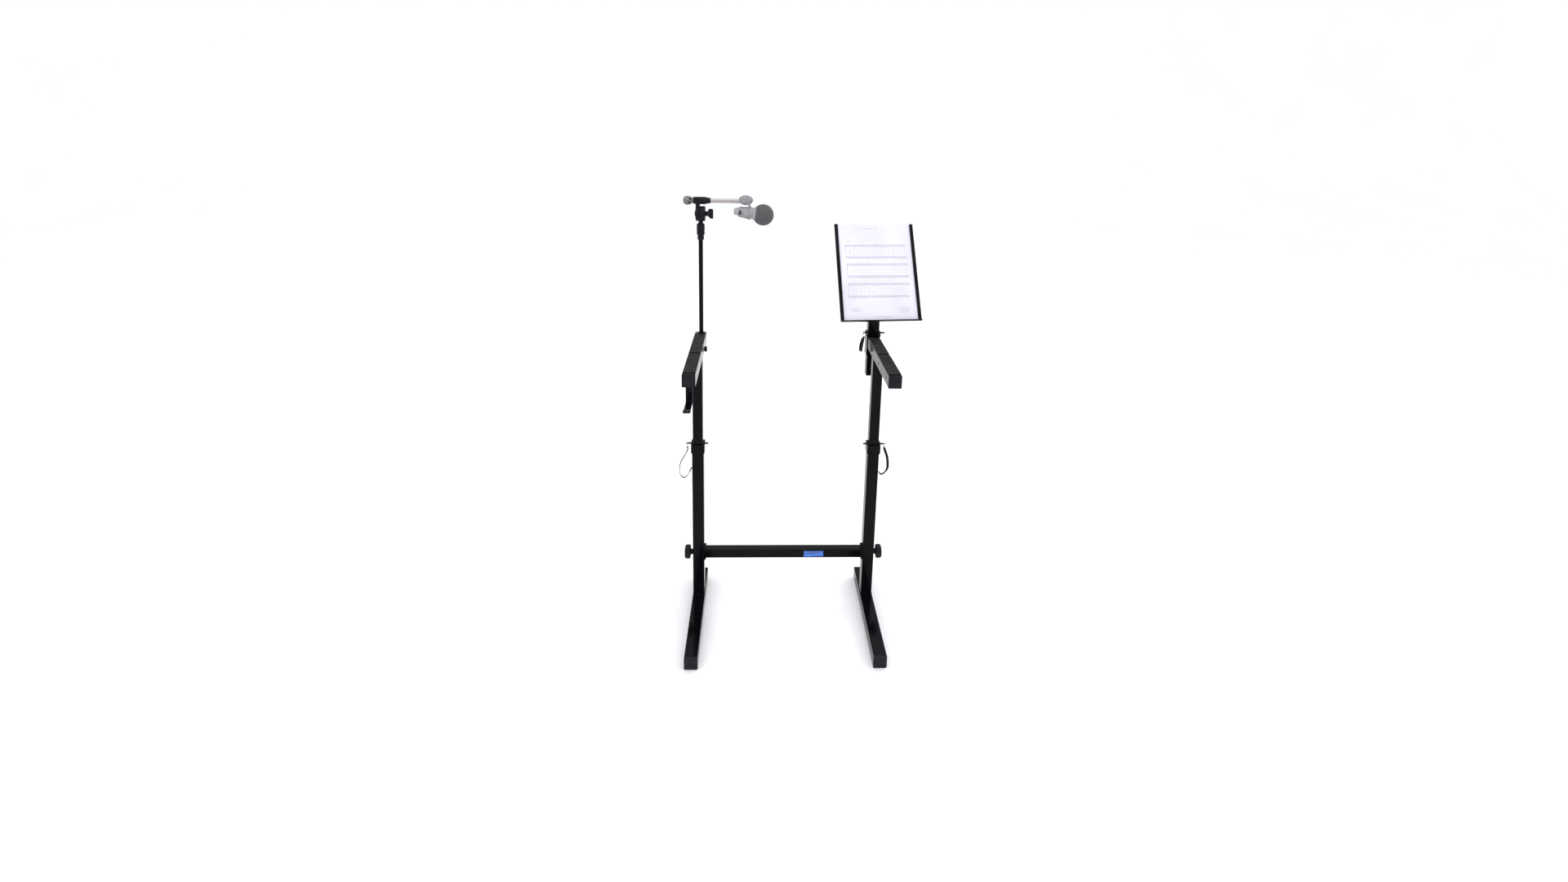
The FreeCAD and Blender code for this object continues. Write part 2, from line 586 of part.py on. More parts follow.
panel = box("desk_panel", around(0, "desk_wide / 2"), around(0, "desk_high / 2"), ("-desk_thick", 0))
lip = box("desk_lip", around(0, "desk_wide / 2"),
          ("-desk_high / 2", "-desk_high / 2 + lip_thick"), ("-desk_thick", "lip_deep"))
desk = keep(join("music_desk", panel, lip))
rails = []
for side, sign in (("left", -1), ("right", 1)):
    rail_x = outward(sign, "desk_wide / 2 - rail_wide", "desk_wide / 2")
    slot_x = outward(sign, "desk_wide / 2 - rail_wide - 1", "sheet_wide / 2 + 0.6")
    rail_y = ("-desk_high / 2 + lip_thick", "desk_high / 2")
    rail = box(side + "_rail_bar", rail_x, rail_y, (0, "rail_deep"))
    rail = soften(side + "_rail_shape", rail, 1, runs_along(Vector(0, 1, 0)))
    groove = box(side + "_rail_groove", slot_x, around(0, "desk_high"), (-1, 0.9))
    rails.append(cut(side + "_rail", rail, groove))
desk_rails = keep(group("desk_rails", *rails))
sheet_low = "-desk_high / 2 + lip_thick + 0.1"
paper = box("sheet_paper", around(0, "sheet_wide / 2"), (sheet_low, sheet_low + " + sheet_high"),
            (0.2, "0.2 + sheet_thick"))
sheet = keep(group("music_sheet", paper))
base = box("bracket_base", around("-desk_shift", 30), around("-desk_rise", 25),
           ("-desk_thick - 2.5", "-desk_thick"))
lugs = [base]
for side, sign in (("left", -1), ("right", 1)):
    low, high = outward(sign, "neck_half + 0.1", "neck_half + 4.1")
    lug_x = (f"{low} - desk_shift", f"{high} - desk_shift")
    lugs.append(box(side + "_lug_block", lug_x, around("-desk_rise", 10),
                    ("-desk_stand_off", "-desk_thick - 1")))
    lugs.append(rod(side + "_lug_round", 10, "x", (lug_x[0], "-desk_rise", "-desk_stand_off"), 4))
bolt_hole = rod("bracket_bore", "pivot_radius", "x", (-40, "-desk_rise", "-desk_stand_off"), 80)
bracket = cut("bracket_drilled", join("bracket_body", *lugs), bolt_hole)
bolt = rod("tilt_bolt_shank", "pivot_radius", "x", ("-desk_shift - 14", "-desk_rise", "-desk_stand_off"), 40)
bolt_head = rod("tilt_bolt_head", 7, "x", ("-desk_shift - 16.2", "-desk_rise", "-desk_stand_off"), 4)
bracket = keep(group("desk_bracket", bracket, join("desk_tilt_bolt", bolt, bolt_head)))
lobes = [rod("desk_knob_hub", 11, "x", ("-desk_shift + 12.2", "-desk_rise", "-desk_stand_off"), 16)]
for number in range(5):
    angle = math.radians(72 * number)
    lobes.append(rod(f"desk_knob_lobe_{number + 1}", 5, "x",
                     ("-desk_shift + 16", f"-desk_rise + {10 * math.cos(angle):.4f}",
                      f"-desk_stand_off + {10 * math.sin(angle):.4f}"), 12))
knob_bore = rod("desk_knob_bore", "pivot_radius + slide_gap", "x",
                ("-desk_shift + 10", "-desk_rise", "-desk_stand_off"), 17)
desk_knob = keep(cut("desk_tilt_knob", join("desk_knob_body", *lobes), knob_bore))
for item in (desk, desk_rails, sheet, bracket, desk_knob):
    item.Placement = desk_frame

# microphone boom

socket_outside = rod("socket_outside", 8.5, "z", ("pole_x", "pole_y", "pole_low - 6"),
                     "arm_low + arm_side - pole_low + 7")
socket_flange = rod("socket_flange", 10.5, "z", ("pole_x", "pole_y", "arm_low + arm_side"), 3.5)
socket_bore = rod("socket_bore", "pole_radius + slide_gap", "z", ("pole_x", "pole_y", "pole_low"), 60)
keep(cut("mic_pole_socket", join("socket_body", socket_outside, socket_flange), socket_bore))

pole_tube = rod("pole_tube", "pole_radius", "z", ("pole_x", "pole_y", "pole_low"), "pole_high - pole_low")
pole_bore = rod("pole_bore", "rod_radius + slide_gap", "z", ("pole_x", "pole_y", 900), "pole_high - 890")
keep(cut("mic_pole", pole_tube, pole_bore))
keep(turned("clutch_ring", [(0, 6.5), (15, 6.5), (15, 8.5), (13, 9.5), (2, 9.5), (0, 8.5)],
            ("pole_x", "pole_y", "ring_low"), "z"))
keep(turned("clutch_sleeve",
            [(0, 6.6), (14, 6.6), (14, 5.1), (33.9, 5.1), (33.9, 9.5), (31.5, 12), (2, 12), (0, 10.5)],
            ("pole_x", "pole_y", "sleeve_start + 0.1"), "z"))
keep(rod("boom_rod", "rod_radius", "z", ("pole_x", "pole_y", 1030), "sleeve_end - 1024"))

tilt_x = "(pole_x - 2)"
neck = rod("base_neck", 7, "z", ("pole_x", "pole_y", "sleeve_end + 0.1"), 6.2)
web = box("base_web", (f"{tilt_x} + 0.1", f"{tilt_x} + 9"), around("pole_y", 6),
          ("sleeve_end + 0.1", "sleeve_end + 15"))
disc = rod("base_disc", "disc_radius", "x", (f"{tilt_x} + 0.1", "pole_y", "tilt_height"), 15.9)
disc = soften("base_round", disc, 2, all_edges)
rod_seat = rod("base_rod_seat", "rod_radius", "z", ("pole_x", "pole_y", "sleeve_end - 1"), 7)
base_bore = rod("base_bore", "pivot_radius + pin_clear", "x", (f"{tilt_x} - 5", "pole_y", "tilt_height"), 30)
keep(cut("boom_tilt_base", join("base_body", neck, web, disc), rod_seat, base_bore))

plate = rod("head_disc", "disc_radius", "x", (f"{tilt_x} - 12", "pole_y", "tilt_height"), 12)
plate = soften("head_round", plate, 2, all_edges)
stem = box("head_stem", (f"{tilt_x} - 12", tilt_x), around("pole_y", 11), ("tilt_height", "boom_height"))
stem = soften("head_stem_round", stem, 2, runs_along(Vector(0, 0, 1)))
barrel = rod("head_barrel", "head_radius", "x", (f"{tilt_x} - 12", "pole_y", "boom_height"), 29.5)
nose = cone("head_nose", 10, 7.6, "x", (f"{tilt_x} + 17.5", "pole_y", "boom_height"), 14)
head_bore = rod("head_boom_bore", "boom_bore", "x", (f"{tilt_x} - 20", "pole_y", "boom_height"), 60)
head_pivot = rod("head_pivot_bore", "pivot_radius", "x", (f"{tilt_x} - 15", "pole_y", "tilt_height"), 20)
clamp_body = cut("clamp_body", join("head_body", plate, stem, barrel, nose), head_bore, head_pivot)
bolt_shank = rod("boom_bolt_shank", "pivot_radius", "x", (f"{tilt_x} - 12", "pole_y", "tilt_height"), 44)
bolt_head = rod("boom_bolt_head", 7.5, "x", (f"{tilt_x} - 15", "pole_y", "tilt_height"), 3)
keep(group("boom_clamp_head", clamp_body, join("boom_tilt_bolt", bolt_shank, bolt_head)))
wing = box("wing_blade", (f"{tilt_x} + 24", f"{tilt_x} + 39"), around("pole_y", 5),
           around("tilt_height", 14.5))
wing = soften("wing_shape", wing, 4, runs_along(Vector(0, 1, 0)))
wing_hub = rod("wing_hub", 7.5, "x", (f"{tilt_x} + 16.1", "pole_y", "tilt_height"), 15)
wing_bore = rod("wing_bore", "pivot_radius + slide_gap", "x",
                (f"{tilt_x} + 10", "pole_y", "tilt_height"), 22.1)
keep(cut("boom_wing_knob", join("wing_body", wing, wing_hub), wing_bore))
nut_ring = rod("nut_ring_blank", 10.5, "x", (f"{tilt_x} - 19", "pole_y", "boom_height"), 6.9)
nut_ring = soften("nut_ring", nut_ring, 1, all_edges)
nut_bore = rod("nut_ring_bore", "boom_bore + slide_gap", "x", (f"{tilt_x} - 25", "pole_y", "boom_height"), 30)
keep(cut("boom_clamp_nut", nut_ring, nut_bore))

boom = rod("boom_outside", "boom_radius", "x", ("boom_left", "pole_y", "boom_height"),
           "boom_right - boom_left")
boom_hollow = rod("boom_hollow", "boom_radius - 1", "x", ("boom_left - 1", "pole_y", "boom_height"),
                  "boom_right - boom_left + 2")
keep(cut("boom_tube", boom, boom_hollow))
keep(turned("boom_end_grip",
            [(0, 0), (0, 4), (2, 8.5), (6, 12), (12, 13.5), (18, 13.2), (23, 11.5), (27, 9),
             (29.7, 8.2), (29.7, 6.5), (13.5, 6.5), (13.5, 0)],
            ("boom_left - 13.5", "pole_y", "boom_height"), "x"))
knuckle = ball("knuckle_blank", (14.5, 21.5, 14.5), (0, 0, 0))
knuckle.setExpression("Placement.Base.x", expression("knuckle_x"))
knuckle.setExpression("Placement.Base.y", expression("pole_y"))
knuckle.setExpression("Placement.Base.z", expression("knuckle_z - 3.5"))
boom_seat = rod("knuckle_boom_seat", "boom_radius", "x", ("knuckle_x - 30", "pole_y", "boom_height"),
                "boom_right - knuckle_x + 30")
lug_slot = box("knuckle_slot", ("clip_pivot_x - 11", "clip_pivot_x + 15"), around("pole_y", 3.05),
               ("clip_pivot_z - 10", "clip_pivot_z + 5.2"))
pin_bore = rod("knuckle_pin_bore", 1.5, "y", ("clip_pivot_x", "pole_y - 20", "clip_pivot_z"), 40)
drilled = cut("knuckle_drilled", knuckle, boom_seat, lug_slot, pin_bore)
pivot_pin = rod("clip_pivot_pin", 1.5, "y", ("clip_pivot_x", "pole_y - 8.8", "clip_pivot_z"), 17.6)
keep(group("boom_knuckle", drilled, pivot_pin))

slope = Rotation(Vector(0, 1, 0), dims.mic_slope)
mic_frame = FreeCAD.Placement(Vector(dims.mic_x, dims.pole_y, dims.mic_z), slope)
shell = turned("clip_shell", [(0, 12.15), (38, 16.75), (38, 19.2), (28, 19.2), (27, 17.8), (0, 14.8)],
               (-30, 0, 0), "x")
window = rod("clip_window", 6.5, "y", (-27, -30, 0), 28)
clip_cone = cut("clip_cone", shell, window)
clip_cone.Placement = mic_frame
clip_lug = rod("clip_lug", 5, "y", ("clip_pivot_x", "pole_y - 3", "clip_pivot_z"), 6)
clip_neck = box("clip_neck", around("clip_pivot_x", 3), around("pole_y", 3),
                ("clip_pivot_z - 12.5", "clip_pivot_z"))
lug_bore = rod("clip_lug_bore", 1.55, "y", ("clip_pivot_x", "pole_y - 5", "clip_pivot_z"), 10)
keep(cut("mic_clip", join("clip_body", clip_cone, clip_neck, clip_lug), lug_bore))
handle_body = turned("mic_handle_turned",
                     [(0, 0), (0, 9), (1.5, 10.5), (56, 17), (60, 19.5), (66, 20.5), (66, 0)], (-44, 0, 0))
handle = keep(group("mic_handle", handle_body))
handle.Placement = mic_frame
grille_ball = doc.addObject("Part::Sphere", "grille_ball")
bind(grille_ball, "Radius", "ball_radius")
place(grille_ball, (43.3, 0, 0))
grille_flat = box("grille_flat", (-10, 22), (-50, 50), (-50, 50))
grille = keep(cut("mic_grille", grille_ball, grille_flat))
grille.Placement = mic_frame
doc.recompute()

# pin lanyards: each riser's is in two lengths that meet, almost touching, in
# the middle of a straight run, and the holder's is one loop from its split ring

side_on = Vector(0, 1, 0)
left_upper = [(-295.8, 0, 531.9), (-302, 0, 514), (-317, 0, 492), (-323.5, 0, 466), (-321.5, 0, 452.8)]
left_lower = [(-321.46, 0, 452.5), (-320.2, 0, 444.1), (-309.5, 0, 433.5), (-298, 0, 441.5),
              (-292.3, 0, 455), (-286.4, 0, 467)]
right_upper = [(302, 8, 530.5), (307.5, 5, 516), (312.5, 1, 500), (313.6, -0.4, 484)]
right_lower = [(313.66, -0.47, 483.2), (314.4, -1.44, 472.1), (308, -3, 457.5), (297.5, -4, 450),
               (289.8, -3.5, 450.5), (286.4, -2, 457)]
keep(strap("left_lanyard_upper", left_upper, side_on))
keep(strap("left_lanyard_lower", left_lower, side_on))
keep(strap("right_lanyard_upper", right_upper, side_on))
keep(strap("right_lanyard_lower", right_lower, side_on))
holder_loop = [(236, 97.5, 852.5), (233, 93, 840), (231, 90, 829), (230, 90, 819.5), (230, 95, 811),
               (230, 105, 811), (230, 110, 819.5), (231, 110, 829), (233, 107, 840), (236, 102.5, 852)]
keep(strap("holder_lanyard", holder_loop, Vector(1, 0, 0)))

doc.recompute()
os.makedirs("parts", exist_ok=True)
for name, item in made.items():
    faults = [state for state in item.State if state in ("Invalid", "Error")]
    shape = item.Shape
    if faults or shape.isNull() or not shape.isValid():
        raise RuntimeError(f"{name}: {faults} null {shape.isNull()}")
    item.Label = name
    shape.exportStep(f"parts/{name}.step")
for item in doc.Objects:
    if any(state in ("Invalid", "Error") for state in item.State):
        raise RuntimeError("document object in error: " + item.Name)
print(len(made), "nodes")
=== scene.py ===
import json
import math
import random

import bmesh
import bpy
from mathutils import Matrix, Vector


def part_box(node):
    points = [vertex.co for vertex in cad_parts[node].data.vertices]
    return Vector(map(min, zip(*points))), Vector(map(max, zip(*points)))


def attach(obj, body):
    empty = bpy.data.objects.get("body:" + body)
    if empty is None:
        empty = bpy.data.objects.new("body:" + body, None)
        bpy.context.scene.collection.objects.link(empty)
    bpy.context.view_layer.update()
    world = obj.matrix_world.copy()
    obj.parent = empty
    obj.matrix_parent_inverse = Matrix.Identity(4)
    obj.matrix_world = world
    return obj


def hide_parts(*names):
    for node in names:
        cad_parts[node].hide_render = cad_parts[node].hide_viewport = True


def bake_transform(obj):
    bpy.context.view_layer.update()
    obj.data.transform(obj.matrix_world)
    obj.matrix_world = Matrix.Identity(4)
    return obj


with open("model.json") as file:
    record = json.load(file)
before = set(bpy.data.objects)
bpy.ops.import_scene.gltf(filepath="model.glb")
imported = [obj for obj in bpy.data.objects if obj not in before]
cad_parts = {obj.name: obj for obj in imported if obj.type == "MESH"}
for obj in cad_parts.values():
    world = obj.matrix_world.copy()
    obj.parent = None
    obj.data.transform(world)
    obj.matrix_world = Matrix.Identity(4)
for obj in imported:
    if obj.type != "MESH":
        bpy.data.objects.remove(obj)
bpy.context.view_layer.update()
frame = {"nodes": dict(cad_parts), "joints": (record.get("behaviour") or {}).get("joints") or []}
nodes = frame["nodes"]
dice = random.Random(7)

# Lengths in outlines are millimetres; MM turns them into the scene's metres.
MM = 0.001
ON_AXIS = 1e-4  # an outline's radius below this is a single vertex
X, Y, Z = Vector((1, 0, 0)), Vector((0, 1, 0)), Vector((0, 0, 1))


# ---- places ----

def middle(node):
    low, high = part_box(node)
    return (low + high) / 2


def joint(name):
    return next(row for row in frame["joints"] if row["name"] == name)


def facing(point, direction):
    """A place at point whose own Z runs along direction."""
    turn = Z.rotation_difference(Vector(direction)).to_matrix().to_4x4()
    return Matrix.Translation(Vector(point)) @ turn


def at(x, y, z):
    return Vector((x, y, z)) * MM


# ---- materials ----

class Skin:
    """A Principled material and the few node links that the skins below share."""

    def __init__(self, name, colour, roughness, metallic=0.0):
        self.material = bpy.data.materials.new(name)
        self.material.use_nodes = True
        self.tree = self.material.node_tree
        self.shader = self.tree.nodes["Principled BSDF"]
        self.colour = (*colour, 1)
        self.shader.inputs["Base Color"].default_value = self.colour
        self.shader.inputs["Roughness"].default_value = roughness
        self.shader.inputs["Metallic"].default_value = metallic
        self.bumps = []

    def node(self, kind, **values):
        made = self.tree.nodes.new(kind)
        for key, value in values.items():
            if key in made.inputs:
                made.inputs[key].default_value = value
            else:
                setattr(made, key, value)
        return made

    def link(self, out, into):
        self.tree.links.new(out, into)

    def place(self, kind="Object", stretch=(1, 1, 1)):
        source = self.node("ShaderNodeTexCoord")
        mapping = self.node("ShaderNodeMapping", Scale=stretch)
        self.link(source.outputs[kind], mapping.inputs["Vector"])
        return mapping.outputs["Vector"]

    def noise(self, scale, detail=3.0, stretch=(1, 1, 1)):
        made = self.node("ShaderNodeTexNoise", Scale=scale, Detail=detail)
        self.link(self.place(stretch=stretch), made.inputs["Vector"])
        return made.outputs["Fac"]

    def math(self, operation, first, second=0.0, third=0.0):
        made = self.node("ShaderNodeMath", operation=operation)
        for number, value in enumerate((first, second, third)):
            if isinstance(value, (int, float)):
                made.inputs[number].default_value = value
            else:
                self.link(value, made.inputs[number])
        return made.outputs[0]

    def ramp(self, factor, stops):
        made = self.node("ShaderNodeValToRGB")
        elements = made.color_ramp.elements
        while len(elements) < len(stops):
            elements.new(0.5)
        for element, (position, colour) in zip(elements, stops):
            element.position = position
            element.color = (*colour, 1)
        self.link(factor, made.inputs["Fac"])
        return made.outputs["Color"]

    def tint(self, factor, low, high, start=0.35, end=0.65):
        """Base colour runs between two shades of the skin's own colour."""
        shades = [tuple(channel * share for channel in self.colour[:3]) for share in (low, high)]
        colour = self.ramp(factor, [(start, shades[0]), (end, shades[1])])
        self.link(colour, self.shader.inputs["Base Color"])

    def rough(self, factor, low, high):
        made = self.node("ShaderNodeMapRange")
        made.inputs["To Min"].default_value = low
        made.inputs["To Max"].default_value = high
        self.link(factor, made.inputs["Value"])
        self.link(made.outputs["Result"], self.shader.inputs["Roughness"])

    def shine(self, level):
        self.shader.inputs["Specular IOR Level"].default_value = level

    def bump(self, height, depth):
        made = self.node("ShaderNodeBump", Strength=1.0, Distance=depth)
        self.link(height, made.inputs["Height"])
        if self.bumps:
            self.link(self.bumps[-1].outputs["Normal"], made.inputs["Normal"])
        self.bumps.append(made)
        self.link(made.outputs["Normal"], self.shader.inputs["Normal"])


def powder_coat(name, colour, roughness, grain=0.00003):
    """Powder coat: a fine orange peel, soft cloudiness and a few duller patches."""
    skin = Skin(name, colour, roughness)
    skin.shine(0.085)
    skin.tint(skin.noise(9, 4), 0.75, 1.35)
    skin.rough(skin.noise(38, 5), roughness - 0.04, roughness + 0.06)
    skin.bump(skin.noise(1400, 2), grain)
    skin.bump(skin.noise(260, 2), grain * 0.7)
    return skin.material


def moulded(name, colour, roughness, grain=0.00005):
    """Moulded plastic with an even spark-eroded grain."""
    skin = Skin(name, colour, roughness)
    skin.shine(0.14)
    skin.tint(skin.noise(60, 4), 0.8, 1.25)
    skin.rough(skin.noise(160, 3), roughness - 0.06, roughness + 0.08)
    skin.bump(skin.noise(2600, 2), grain)
    return skin.material


def bare_metal(name, colour, roughness, stretch, metallic=1.0):
    """Drawn or brushed metal, its fine lines long where stretch is small."""
    skin = Skin(name, colour, roughness, metallic)
    lines = skin.noise(420, 4, stretch)
    skin.tint(lines, 0.8, 1.2, 0.3, 0.7)
    skin.rough(skin.noise(50, 4), roughness - 0.06, roughness + 0.1)
    skin.bump(lines, 0.00002)
    return skin.material


def ribbed_rubber():
    skin = Skin("pad_rubber", (0.014, 0.0125, 0.0135), 0.72)
    skin.shine(0.12)
    skin.tint(skin.noise(24, 5), 0.7, 1.6)
    skin.rough(skin.noise(90, 4), 0.6, 0.85)
    skin.bump(skin.noise(1800, 3), 0.00008)
    return skin.material


def webbing():
    """Twill webbing: two sets of yarns that pass over and under each other."""
    skin = Skin("black_webbing", (0.01, 0.01, 0.012), 0.7)
    skin.shine(0.12)
    parts = skin.node("ShaderNodeSeparateXYZ")
    skin.link(skin.place("UV"), parts.inputs[0])
    along, across = parts.outputs["X"], parts.outputs["Y"]
    rows = skin.math("SINE", skin.math("MULTIPLY", skin.math("ADD", along, across), 5200))
    columns = skin.math("SINE", skin.math("MULTIPLY", skin.math("SUBTRACT", along, across), 5200))
    weave = skin.math("MAXIMUM", rows, columns)
    skin.tint(skin.math("MULTIPLY_ADD", weave, 0.5, 0.5), 0.45, 2.0, 0.1, 0.9)
    skin.rough(skin.noise(300, 3), 0.6, 0.82)
    skin.bump(weave, 0.00012)
    skin.shader.inputs["Sheen Weight"].default_value = 0.08
    return skin.material


def printed_paper():
    skin = Skin("sheet_paper", (0.74, 0.72, 0.82), 0.62)
    skin.tint(skin.noise(14, 5), 0.96, 1.04)
    skin.rough(skin.noise(300, 4), 0.55, 0.7)
    skin.bump(skin.noise(2200, 4), 0.00002)
    return skin.material


def faint_ink():
    skin = Skin("stave_ink", (0.12, 0.12, 0.15), 0.6)
    skin.tint(skin.noise(900, 3), 0.7, 1.5)
    return skin.material


def speckled_cover(name, colour, dark):
    """A cover speckled with small darker dots."""
    skin = Skin(name, colour, 0.45)
    cells = skin.node("ShaderNodeTexVoronoi", Scale=330.0, Randomness=0.35)
    skin.link(skin.place(), cells.inputs["Vector"])
    holes = skin.ramp(cells.outputs["Distance"], [(0.22, dark), (0.34, colour)])
    skin.link(holes, skin.shader.inputs["Base Color"])
    skin.rough(skin.noise(120, 3), 0.38, 0.55)
    skin.bump(cells.outputs["Distance"], 0.0003)
    return skin.material


def sticker():
    """A blank gloss sticker in a slightly uneven blue."""
    skin = Skin("blue_sticker", (0.02, 0.12, 0.5), 0.28)
    skin.tint(skin.noise(55, 3, (0.4, 1, 2.2)), 0.65, 1.5)
    skin.rough(skin.noise(200, 2), 0.2, 0.36)
    skin.shader.inputs["Coat Weight"].default_value = 0.5
    return skin.material


def floor_paint():
    skin = Skin("studio_floor", (0.95, 0.95, 0.95), 0.75)
    skin.tint(skin.noise(1.3, 3), 0.99, 1.01)
    return skin.material


frame_black = powder_coat("frame_powder_coat", (0.0024, 0.002, 0.003), 0.12, 0.000008)
tube_black = powder_coat("riser_powder_coat", (0.0024, 0.0021, 0.003), 0.12, 0.000008)
desk_black = powder_coat("desk_powder_coat", (0.005, 0.0048, 0.0058), 0.3)
cap_plastic = moulded("cap_plastic", (0.0085, 0.0083, 0.0115), 0.42)
knob_plastic = moulded("knob_plastic", (0.006, 0.006, 0.0085), 0.38)
boom_plastic = moulded("boom_plastic", (0.005, 0.0053, 0.0085), 0.3, 0.00002)
glide_rubber = moulded("glide_rubber", (0.018, 0.018, 0.018), 0.8, 0.0001)
pad_rubber = ribbed_rubber()
pin_steel = bare_metal("blackened_pin", (0.025, 0.024, 0.027), 0.38, (0.05, 1, 1))
ring_steel = bare_metal("bright_ring", (0.62, 0.6, 0.6), 0.28, (1, 1, 1))
zinc = bare_metal("zinc_screw", (0.5, 0.5, 0.52), 0.35, (1, 1, 1))
boom_metal = bare_metal("satin_boom_tube", (0.42, 0.38, 0.4), 0.34, (0.04, 1, 1))
black_webbing = webbing()
paper = printed_paper()
ink = faint_ink()
grip_cover = moulded("grip_cover", (0.24, 0.235, 0.245), 0.42)
grip_hole = moulded("grip_hole", (0.01, 0.01, 0.012), 0.6)
pale_cover = speckled_cover("pale_cover", (0.25, 0.24, 0.25), (0.15, 0.145, 0.155))
pale_plastic = moulded("pale_plastic", (0.27, 0.265, 0.275), 0.42)
pale_paint = bare_metal("pale_handle_paint", (0.34, 0.335, 0.35), 0.36, (0.1, 1, 1), 0.3)
# Painted shadow: a dark grey for the thin shell that stands in for the shade between the clip and
# the handle.
clip_shadow_paint = moulded("clip_shadow_plastic", (0.08, 0.08, 0.088), 0.5)
grille_wire = bare_metal("grille_wire", (0.2, 0.2, 0.205), 0.45, (1, 1, 1), 0.6)
grille_foam = moulded("grille_foam", (0.15, 0.15, 0.155), 0.9, 0.0003)
blue_sticker = sticker()


def dress(skin, *names):
    """Gives shown CAD nodes their material."""
    for name in names:
        slots = nodes[name].data.materials
        slots.clear()
        slots.append(skin)


dress(frame_black, "left_foot", "right_foot", "left_upright", "right_upright", "left_collar",
      "right_collar", "crossbar", "crossbar_flanges", "left_arm", "right_arm", "holder_sleeve",
      "holder_collar", "strap_anchors")
dress(tube_black, "left_riser_tube", "right_riser_tube", "holder_post", "mic_pole")
dress(cap_plastic, "foot_caps", "left_arm_caps", "right_arm_front_cap", "left_riser_guide",
      "right_riser_guide", "holder_post_plugs", "mic_pole_socket")
dress(glide_rubber, "foot_glides")
dress(desk_black, "music_desk", "desk_rails", "desk_bracket", "holder_yoke")
dress(knob_plastic, "desk_tilt_knob")
dress(boom_plastic, "boom_tilt_base", "boom_clamp_head")
dress(boom_metal, "boom_tube", "boom_rod")
dress(pale_cover, "boom_knuckle")
dress(pale_plastic, "mic_clip")
dress(blue_sticker, "crossbar_label")


# ---- mesh tools ----

def piece(name, mesh_data, skins, body, replaced=(), sharp=34):
    """Turns a bmesh into a shown piece, on its body if one is given. Edges sharper than sharp
    degrees stay hard."""
    bmesh.ops.recalc_face_normals(mesh_data, faces=mesh_data.faces)
    mesh = bpy.data.meshes.new(name)
    mesh_data.to_mesh(mesh)
    mesh_data.free()
    for skin in skins if isinstance(skins, (list, tuple)) else [skins]:
        mesh.materials.append(skin)
    mesh.shade_smooth()
    mesh.set_sharp_from_angle(angle=math.radians(sharp))
    made = bpy.data.objects.new(name, mesh)
    bpy.context.scene.collection.objects.link(made)
    if body:
        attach(made, body)
    if replaced:
        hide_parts(*replaced)
    return made


def soften(made, width):
    """Rounds a piece's edges, by width in millimetres."""
    bevel = made.modifiers.new("rounding", "BEVEL")
    bevel.width = width * MM
    bevel.segments = 3
    bevel.limit_method = "ANGLE"
    bevel.angle_limit = math.radians(30)
    bevel.harden_normals = True


def rounded(outline, radius, steps=4):
    """The outline with its inner points turned into short arcs."""
    result = [outline[0]]
    for before, corner, after in zip(outline, outline[1:], outline[2:]):
        a, b, c = Vector(before), Vector(corner), Vector(after)
        trim = min(radius, 0.45 * (a - b).length, 0.45 * (c - b).length)
        start = b + (a - b).normalized() * trim
        end = b + (c - b).normalized() * trim
        for step in range(steps + 1):
            share = step / steps
            point = start * (1 - share) ** 2 + b * 2 * share * (1 - share) + end * share ** 2
            result.append(tuple(point))
    return result + [outline[-1]]


def bridge(mesh_data, rings):
    """Joins rings of vertices with faces; a ring of one vertex makes a fan."""
    for one, other in zip(rings, rings[1:]):
        count = max(len(one), len(other))
        for n in range(count):
            m = (n + 1) % count
            if len(one) == 1 and len(other) == 1:
                continue
            if len(one) == 1:
                corners = (one[0], other[n], other[m])
            elif len(other) == 1:
                corners = (one[n], one[m], other[0])
            else:
                corners = (one[n], one[m], other[m], other[n])
            mesh_data.faces.new(corners)


def turn(mesh_data, place, outline, steps=48, flutes=None):
    """Turns (along, radius) points about the place's Z. flutes = (count, depth, start, end)
    scallops the radius between two heights."""
    rings = []
    for along, radius in outline:
        if radius < ON_AXIS:
            rings.append([mesh_data.verts.new(place @ Vector((0, 0, along * MM)))])
            continue
        ring = []
        for n in range(steps):
            angle = 2 * math.pi * n / steps
            reach = radius
            if flutes and flutes[2] <= along <= flutes[3]:
                reach -= flutes[1] * (0.5 - 0.5 * math.cos(flutes[0] * angle))
            spot = Vector((reach * math.cos(angle), reach * math.sin(angle), along)) * MM
            ring.append(mesh_data.verts.new(place @ spot))
        rings.append(ring)
    bridge(mesh_data, rings)


def slab(mesh_data, place, outline, low, high):
    """A flat outline in the place's XY, thick from low to high along its Z."""
    rings = []
    for level in (low, high):
        rings.append([mesh_data.verts.new(place @ (Vector((x, y, level)) * MM))
                      for x, y in outline])
    bridge(mesh_data, rings)
    for ring in rings:
        mesh_data.faces.new(ring)


def round_section(radius, sides):
    return [(radius * math.cos(2 * math.pi * n / sides), radius * math.sin(2 * math.pi * n / sides))
            for n in range(sides)]


def strap_section(width, thickness):
    """A flat strap's outline: thin at its edges and a little swollen in its middle."""
    half, deep = width / 2, thickness / 2
    return [(-half, -deep * 0.5), (-half + deep, -deep), (0, -deep * 1.08), (half - deep, -deep),
            (half, -deep * 0.5), (half, deep * 0.5), (half - deep, deep), (0, deep * 1.08),
            (-half + deep, deep), (-half, deep * 0.5)]


